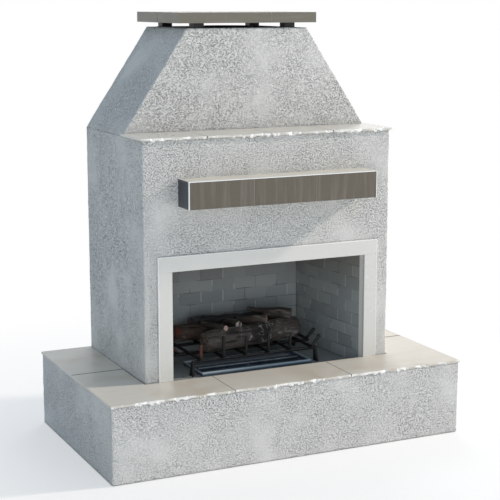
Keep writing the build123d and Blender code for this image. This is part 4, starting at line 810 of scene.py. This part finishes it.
# Flue, top plate, posts and cap: a sooty steel flue pipe, black steel plate and posts, and a board slab
# edged and topped with khaki porcelain, whose joints are pointed with pale filler.
flue = finish("sooty_steel", "77777a", "4e4e50", 0.5, metal=0.8, cloud=12.0, speckle=150.0, share=0.5,
              contrast=2.2, grain=300.0, height=0.0001)
flue_soot_low, flue_soot_high = 1.80, 1.876
stain(flue, along(flue, "Z"), flue_soot_low, flue_soot_high, "17171a")
coat_nodes(flue, "flue_pipe")
black = finish("black_steel", "2b2b2d", "1a1a1c", 0.45, cloud=8.0, speckle=120.0, share=0.4, contrast=1.6,
               grain=300.0, height=0.00012)
coat_nodes(black, "chimney_top_plate", "cap_posts")
post_arris = 0.002
round_arris("cap_posts", post_arris)
khaki = finish("khaki_tile", "767266", "69655a", 0.4, cloud=3.0, speckle=60.0, share=0.4, contrast=1.5,
               grain=90.0, height=0.0001, coat=0.1)
streak(khaki, (6.0, 6.0, 70.0), 2.2, 0.5, 1.3, "7d7a6f")
coat_nodes(khaki, "cap_fascia_tiles", "cap_top_tile")
round_arris("cap_fascia_tiles", glazed_arris)
round_arris("cap_top_tile", glazed_arris)
cap_low, cap_high = node_box("cap_fascia_tiles")
cap_joint_depth = 0.0094
front_joints("cap_joint", cap_low, cap_high, cap_low[1] + cap_joint_depth)

# Gas fire: a folded steel pan with hemmed edges lies in the floor and holds a burner tube blued by the
# heat; under it are a brass valve with a dipped yellow lever, a painted pipe and a flexible connector.
pan = finish("pan_enamel", "5a6976", "323d47", 0.16, cloud=10.0, speckle=80.0, share=0.4, contrast=2.2,
             grain=60.0, height=0.0002, coat=0.5)
pan_top = node_box("burner_pan")[1][2]
# A pale blue-white band just under the pan's top edge is a painted highlight: sky reflected in the rims.
painted_highlight_reach, painted_highlight_gap = 0.011, 0.003
stain(pan, along(pan, "Z"), pan_top - painted_highlight_reach, pan_top - painted_highlight_gap, "c3d2de")
coat_nodes(pan, "burner_pan")
blued = finish("heat_blued_steel", "77838f", "3f4a55", 0.34, metal=0.9, cloud=14.0, speckle=160.0, share=0.4,
               contrast=2.2, grain=300.0, height=0.00006)
coat_nodes(blued, "burner_tube")
supply = finish("supply_pipe", "3a3a3c", "242426", 0.5, cloud=12.0, speckle=140.0, grain=300.0, height=0.0001)
coat_nodes(supply, "gas_supply_pipe")
brass = finish("brass", "b8913f", "93702c", 0.32, metal=1.0, cloud=20.0, speckle=200.0, grain=500.0,
               height=0.00005)
coat_nodes(brass, "gas_valve_body")
yellow = finish("dipped_yellow", "d8a012", "bd8708", 0.4, cloud=14.0, speckle=80.0, share=0.3, grain=200.0,
                height=0.00008, coat=0.2)
coat_nodes(yellow, "gas_valve_lever")
lever_arris = 0.0008
round_arris("gas_valve_lever", lever_arris)
stainless = finish("stainless_steel", "c9cacb", "a9abad", 0.3, metal=1.0, cloud=6.0, speckle=200.0, share=0.5,
                   contrast=1.2, grain=500.0, height=0.00004)
coat_nodes(stainless, "gas_connector")

# Grate: bars bent up into a finger in front, welded on cross bars and pairs of splayed legs, black
# heat-proof paint over scaled iron; the left-hand finger has rusted red-brown.
iron = finish("grate_iron", "212122", "101011", 0.46, metal=0.3, cloud=25.0, speckle=220.0, share=0.5,
              contrast=2.0, grain=350.0, height=0.0004)
rust_x = (-0.27, -0.278)
rust_z = (0.388, 0.41)
rust_side = step_mask(iron, along(iron, "X"), *rust_x)
rust_above = step_mask(iron, along(iron, "Z"), *rust_z)
blend_over(iron, reckon(iron, "MULTIPLY", rust_side, rust_above), "59352a")
coat_nodes(iron, "log_grate")
scale_depth = 0.0011
scale_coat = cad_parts["log_grate"].modifiers.new("scale", "DISPLACE")
scale_coat.strength = scale_depth
scale_coat.mid_level = 0.0

# Logs: ceramic logs painted as firewood, lying on the grate. The bark runs in ridges along each log,
# with knots; the cut ends are rippled, a little domed, and pale or charred.
bark_row, bark_side = 0.0042, 0.0036
fewest_sides = 48
ridge_size, fine_size, broad_size, knot_size = 0.016, 0.0055, 0.06, 0.028
bark_relief, cast_radius = 0.0035, 0.045
bark_stretch, ridge_fold = 0.2, 1.6
ridge_shift, fine_shift = 0.37, 0.11
ridge_part, fine_part, broad_part = 0.4, 0.18, 0.22
end_shares = np.array((0.985, 0.9, 0.7, 0.4, 0.12))
end_ridge, end_rim = 0.55, 0.4


def smooth_line(path, radii):
    """Evenly spaced points, directions and radii on a smooth curve through the given points: cubic
    stretches whose slopes at the points are those of the path there."""
    path, radii = np.array(path, float) / 1000.0, np.array(radii, float) / 1000.0
    knots = np.concatenate(([0.0], np.cumsum(np.linalg.norm(np.diff(path, axis=0), axis=1))))
    slope = np.gradient(path, knots, axis=0)
    places = run(0.0, knots[-1], bark_row)
    index = np.clip(np.searchsorted(knots, places, side="right") - 1, 0, len(knots) - 2)
    span = (knots[index + 1] - knots[index])
    t = ((places - knots[index]) / span)[:, None]
    span = span[:, None]
    blends = (2 * t**3 - 3 * t**2 + 1, t**3 - 2 * t**2 + t, -2 * t**3 + 3 * t**2, t**3 - t**2)
    curve = blends[0] * path[index] + blends[1] * span * slope[index]
    curve = curve + blends[2] * path[index + 1] + blends[3] * span * slope[index + 1]
    ahead = np.gradient(curve, axis=0)
    ahead = ahead / np.linalg.norm(ahead, axis=1)[:, None]
    return curve, ahead, np.interp(places, knots, radii), places


ripple_height, ripple_waves, ripple_bend, ripple_share = 0.0012, 26.0, 3.0, 0.3
end_lump, end_dome = 0.03, 0.0018


def cut_end(centre, rim, face_out, seed):
    """Rings of a cut end, from its rim inwards: each is the rim drawn in, domed outwards and rippled."""
    rings = []
    for share in end_shares:
        flat = centre + (rim - centre) * share
        wave = ripple_height * np.sin(ripple_waves * share + ripple_bend * lumps(flat, end_lump, seed))
        rise = end_dome * (1.0 - share) + wave * ripple_share
        rings.append(flat + face_out * rise[:, None])
    return rings


def bark_log(name, path, radii, paint, seed, knots):
    """Log: rings across a smooth curve; the radius is the cast radius less ridges, which are lattice
    noise stretched five times along the log and folded to sharp valleys, plus knots."""
    curve, ahead, thick, places = smooth_line(path, radii)
    sides = int(max(fewest_sides, 2 * math.pi * thick.max() / bark_side))
    across = np.cross(ahead, np.array((0.0, 0.0, 1.0)))
    across = across / np.linalg.norm(across, axis=1)[:, None]
    lift = np.cross(across, ahead)
    angle = np.linspace(0.0, 2 * math.pi, sides, endpoint=False)
    ring = across[:, None] * np.cos(angle)[None, :, None] + lift[:, None] * np.sin(angle)[None, :, None]
    space = ring * thick[:, None, None]
    rolled = space + ahead[:, None] * (places[:, None, None] * bark_stretch)
    ridges = 1.0 - np.abs(lumps(rolled + ridge_shift, ridge_size, seed)) * ridge_fold
    fine = lumps(rolled + fine_shift, fine_size, seed + 1)
    broad = lumps(curve[:, None] + space, broad_size, seed + 2)
    height = 0.5 + ridge_part * (ridges - 0.5) + fine_part * fine + broad_part * broad
    height = np.clip(height, 0.0, 1.0)
    radius = thick[:, None] - bark_relief * (1.0 - height) * (thick[:, None] / cast_radius) ** 0.5
    radius = radius + knots * lumps(curve[:, None] + space, knot_size, seed + 3)
    points = curve[:, None] + ring * radius[..., None]
    first = cut_end(curve[0], points[0], -ahead[0], seed + 3)[::-1]
    last = cut_end(curve[-1], points[-1], ahead[-1], seed + 3)
    grid = np.array(first + list(points) + last)
    ends = len(end_shares)
    flat_end = np.ones((ends, sides))
    ridge = np.concatenate((end_ridge * flat_end, height, end_ridge * flat_end))
    cut = np.concatenate((flat_end, np.zeros_like(height), flat_end))
    cut[[ends, -ends - 1]] = end_rim
    growth = end_shares[:, None] * flat_end
    growth = np.concatenate((growth[::-1], np.ones_like(height), growth))
    faces = grid_faces(grid.shape[0], sides, True)[:, ::-1].tolist()
    faces.append(list(range(sides)))
    faces.append([(grid.shape[0] - 1) * sides + i for i in reversed(range(sides))])
    return make_piece(name, grid, faces, paint, marks={"ridge": ridge, "cut": cut, "ring": growth})


def bark_paint(name, light, dark, crack, ash):
    """Bark colours: mottled ground, dark in the cracks, ash-grey on the ridges."""
    paint = finish(name, light, dark, 0.9, cloud=14.0, speckle=120.0, share=0.45, contrast=2.2, grain=220.0,
                   height=0.0015)
    ridge = point_mark(paint, "ridge")
    stain(paint, ridge, 0.66, 0.95, ash)
    stain(paint, ridge, 0.42, 0.12, crack)
    return paint


def away_from(paint, centre):
    """Distance from a point."""
    gap = add_node(paint, "VectorMath", {0: position(paint), 1: centre}, operation="DISTANCE")
    return gap.outputs["Value"]


def add_char(paint, centre, reach, colour):
    """Scorch round a point: the distance plus noise times a share of the reach; none where that passes
    the outer share of the reach, and full where it is under the inner share."""
    waves_per_metre, wobble_share, outer_share, inner_share = 38.0, 1.6, 1.9, 1.4
    wobble = noise(paint, waves_per_metre, detail=6.0).outputs["Fac"]
    edge = reckon(paint, "MULTIPLY_ADD", wobble, reach * wobble_share, away_from(paint, centre))
    stain(paint, edge, reach * outer_share, reach * inner_share, colour)


def add_crackle(paint, centre, reach, colour):
    """Pale cracks in the scorch round a point: edges of bent cells, fading out over the reach and broken
    up by noise."""
    cells_per_metre, bends_per_metre, bend = 44.0, 45.0, (0.03, 0.03, 0.03)
    flakes_per_metre, full_share = 24.0, 0.7
    edges = cell_edges(paint, bent_place(paint, bends_per_metre, bend), cells_per_metre)
    cracks = reckon(paint, "MULTIPLY", step_mask(paint, edges, 0.08, 0.02),
                    step_mask(paint, away_from(paint, centre), reach, reach * full_share))
    flakes = step_mask(paint, noise(paint, flakes_per_metre).outputs["Fac"], 0.5, 0.58)
    blend_over(paint, reckon(paint, "MULTIPLY", cracks, flakes), colour)


def paint_ends(paint, colour):
    """Cut ends in their own colour, with growth rings as a sine of the ring number, and scorched in
    blotches."""
    ring_turn, blotches_per_metre = 60.0, 75.0
    cut = point_mark(paint, "cut")
    blend_over(paint, cut, colour)
    rings = reckon(paint, "SINE", reckon(paint, "MULTIPLY", point_mark(paint, "ring"), ring_turn))
    blend_over(paint, reckon(paint, "MULTIPLY", step_mask(paint, rings, 0.2, 1.4), cut), "3f3733")
    blotch = step_mask(paint, noise(paint, blotches_per_metre).outputs["Fac"], 0.46, 0.6)
    blend_over(paint, reckon(paint, "MULTIPLY", blotch, cut), "3a322e")


# Each log's path through its middle and its radii, in millimetres, and its colours: light, dark, cracks,
# ash and cut ends. The forked log is a body and an arm.
log_paths = {
    "log_front": ([(-231, -20, 443), (-207, -18, 443), (-120, -3, 444), (21, 17, 445), (150, 48, 445),
                   (265, 80, 445), (292, 87, 445)], [47, 51, 54, 51, 53, 54, 49]),
    "log_back": ([(-284, 229, 435), (-150, 222, 435.5), (0, 214, 435), (130, 213, 435.5), (258, 206, 435)],
                 [40, 45, 43, 45, 41]),
    "log_top_charred": ([(-214, 197, 497), (-110, 200, 494), (-11, 197, 489), (182, 197, 485)],
                        [19, 22, 21, 20]),
    "log_small_left": ([(-127, -33, 502), (-146, 60, 494), (-165, 165, 488)], [13, 15, 14]),
    "log_stub": ([(-46, -3, 505), (-40, 60, 500), (-36, 165, 488)], [17, 18, 16]),
    "log_middle": ([(125, 47, 504), (75, 80, 500), (20, 150, 487)], [20, 21, 18]),
    "fork_arm": ([(74, 157, 537), (130, 158, 524), (184, 150, 514)], [11, 13, 17]),
    "fork_body": ([(160, 165, 512), (224, 117, 506), (272, 84, 500)], [20, 33, 34]),
}
log_looks = {
    "log_front": ("5a534e", "2f2b29", "191716", "8b8681", "6b625b"),
    "log_back": ("5c4f47", "332c28", "1b1817", "84796f", "7a5346"),
    "log_top_charred": ("3b3a3c", "1b1b1d", "0e0e0f", "6b6866", "6a635d"),
    "log_small_left": ("4f4742", "2b2725", "171514", "837c75", "c6a89f"),
    "log_stub": ("57504b", "302c2a", "1a1817", "85807a", "a29d98"),
    "log_middle": ("554c46", "2e2926", "191716", "837a72", "c99f80"),
    "fork_arm": ("453f3b", "262321", "151413", "7a746d", "6f6a65"),
    "fork_body": ("4f4843", "2c2826", "181716", "857e77", "7d7771"),
}
knot_heights = {"log_top_charred": 0.006, "fork_arm": 0.003, "log_back": 0.003}
usual_knots = 0.0015
first_seed, seeds_a_log = 50, 5
for index, (name, (path, radii)) in enumerate(log_paths.items()):
    light, dark, crack, ash, cut = log_looks[name]
    paint = bark_paint(name, light, dark, crack, ash)
    if name == "log_front":
        add_char(paint, (0.075, -0.02, 0.465), 0.075, "1c1b1b")
        add_crackle(paint, (0.085, -0.02, 0.47), 0.15, "958f88")
    if name == "log_back":
        add_char(paint, (-0.275, 0.2, 0.45), 0.022, "63372b")
    paint_ends(paint, cut)
    seed = first_seed + seeds_a_log * index
    knots = knot_heights.get(name, usual_knots)
    log = bark_log("bark_" + name, path, radii, paint, seed, knots)
    if name != "fork_arm":
        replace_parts(log, "log_forked_right" if name == "fork_body" else name)

# Rear hardware: white powder-coated steel door in a folded frame on two hinge pins, held by a stainless
# cam latch, with two louvred vents beside it.
powder = finish("powder_coat", "d9d9d7", "cccccb", 0.42, cloud=6.0, speckle=80.0, share=0.3, contrast=1.0,
                grain=500.0, height=0.00012)
coat_nodes(powder, "access_door_frame", "access_door", "vent_louvres")
coat_nodes(stainless, "door_hinge_pins", "door_latch", "door_frame_screws")
door_arris = 0.0006
round_arris("access_door", door_arris)


# Floor, backdrop and studio light: a white sweep, a soft key from high on the right that grazes the
# front, a low front fill, a rear lamp and an even cool sky behind a white backdrop.
def backdrop_rays(owner):
    """1 for the rays that should meet the white backdrop: the largest of the camera, glossy and
    transmission ray marks."""
    kind = add_node(owner, "LightPath").outputs
    largest = kind["Is Camera Ray"]
    for label in ("Is Glossy Ray", "Is Transmission Ray"):
        largest = reckon(owner, "MAXIMUM", largest, kind[label])
    return largest


# The sweep is white by itself round the object and a plain pale floor under and close beside it.
floor_half = 14.0
fade_near, fade_far, fade_start = 0.9, 2.6, 0.45
white = (1.0, 1.0, 1.0, 1.0)
floor_mesh = bpy.data.meshes.new("floor")
floor_corners = ((-floor_half, -floor_half), (floor_half, -floor_half), (floor_half, floor_half),
                 (-floor_half, floor_half))
floor_mesh.from_pydata([(x, y, 0.0) for x, y in floor_corners], [], [(0, 1, 2, 3)])
floor = bpy.data.objects.new("floor", floor_mesh)
scene.collection.objects.link(floor)
sweep = bpy.data.materials.new("floor_sweep")
sweep.use_nodes = True
sweep_nodes = sweep.node_tree.nodes
sweep_nodes["Principled BSDF"].inputs["Base Color"].default_value = tint("f4f4f4")
sweep_nodes["Principled BSDF"].inputs["Roughness"].default_value = 0.9
from_middle = add_node(sweep, "VectorMath", {0: position(sweep)}, operation="LENGTH").outputs["Value"]
fade = add_node(sweep, "MapRange", {"Value": from_middle, "From Min": fade_near, "From Max": fade_far,
                                    "To Min": fade_start}).outputs["Result"]
footprint = [reckon(sweep, "ABSOLUTE", reckon(sweep, "DIVIDE", along(sweep, axis), float(half)))
             for axis, half in (("X", hearth_high[0]), ("Y", hearth_high[1]))]
outside = reckon(sweep, "GREATER_THAN", reckon(sweep, "MAXIMUM", *footprint), 1.0)
lit = reckon(sweep, "MULTIPLY", reckon(sweep, "MULTIPLY", fade, outside), backdrop_rays(sweep))
glow = add_node(sweep, "Emission", {"Color": white})
sweep_mix = add_node(sweep, "MixShader", {"Fac": lit, 1: sweep_nodes["Principled BSDF"].outputs["BSDF"],
                                          2: glow.outputs["Emission"]})
sweep.node_tree.links.new(sweep_mix.outputs["Shader"], sweep_nodes["Material Output"].inputs["Surface"])
floor_mesh.materials.append(sweep)


def lamp(name, place, aim, size, power, code):
    """Square soft lamp at a place, pointed at an aim; gives back the lamp."""
    data = bpy.data.lights.new(name, "AREA")
    data.shape = "SQUARE"
    data.size = size
    data.energy = power
    data.color = tint(code)[:3]
    source = bpy.data.objects.new(name, data)
    way = np.array(aim) - np.array(place)
    turn = math.atan2(way[0], -way[1])
    tilt = math.atan2(math.hypot(way[0], way[1]), -way[2])
    source.location = place
    source.rotation_euler = (tilt, 0.0, turn + math.pi)
    source.visible_camera = False
    scene.collection.objects.link(source)
    return source


lamp("key", (9.45, -2.3, 6.4), (0.0, 0.0, 0.9), 0.8, 1100.0, "fff4e7")
lamp("front", (-2.0, -5.7, 1.3), (0.0, 0.0, 0.7), 2.4, 78.0, "f8f5f2").visible_glossy = False
lamp("rear", (2.2, 4.0, 4.6), (0.0, 0.0, 0.8), 2.2, 75.0, "f6f7fa")

sky_strength = 0.58
world = bpy.data.worlds.new("studio")
scene.world = world
world.use_nodes = True
sky = world.node_tree.nodes["Background"]
sky.inputs["Color"].default_value = tint("cfe3f4")
sky.inputs["Strength"].default_value = sky_strength
backdrop = add_node(world, "Background", {"Color": white, "Strength": 1.0})
choose = add_node(world, "MixShader", {"Fac": backdrop_rays(world), 1: sky.outputs["Background"],
                                       2: backdrop.outputs["Background"]})
world.node_tree.links.new(choose.outputs["Shader"], world.node_tree.nodes["World Output"].inputs["Surface"])
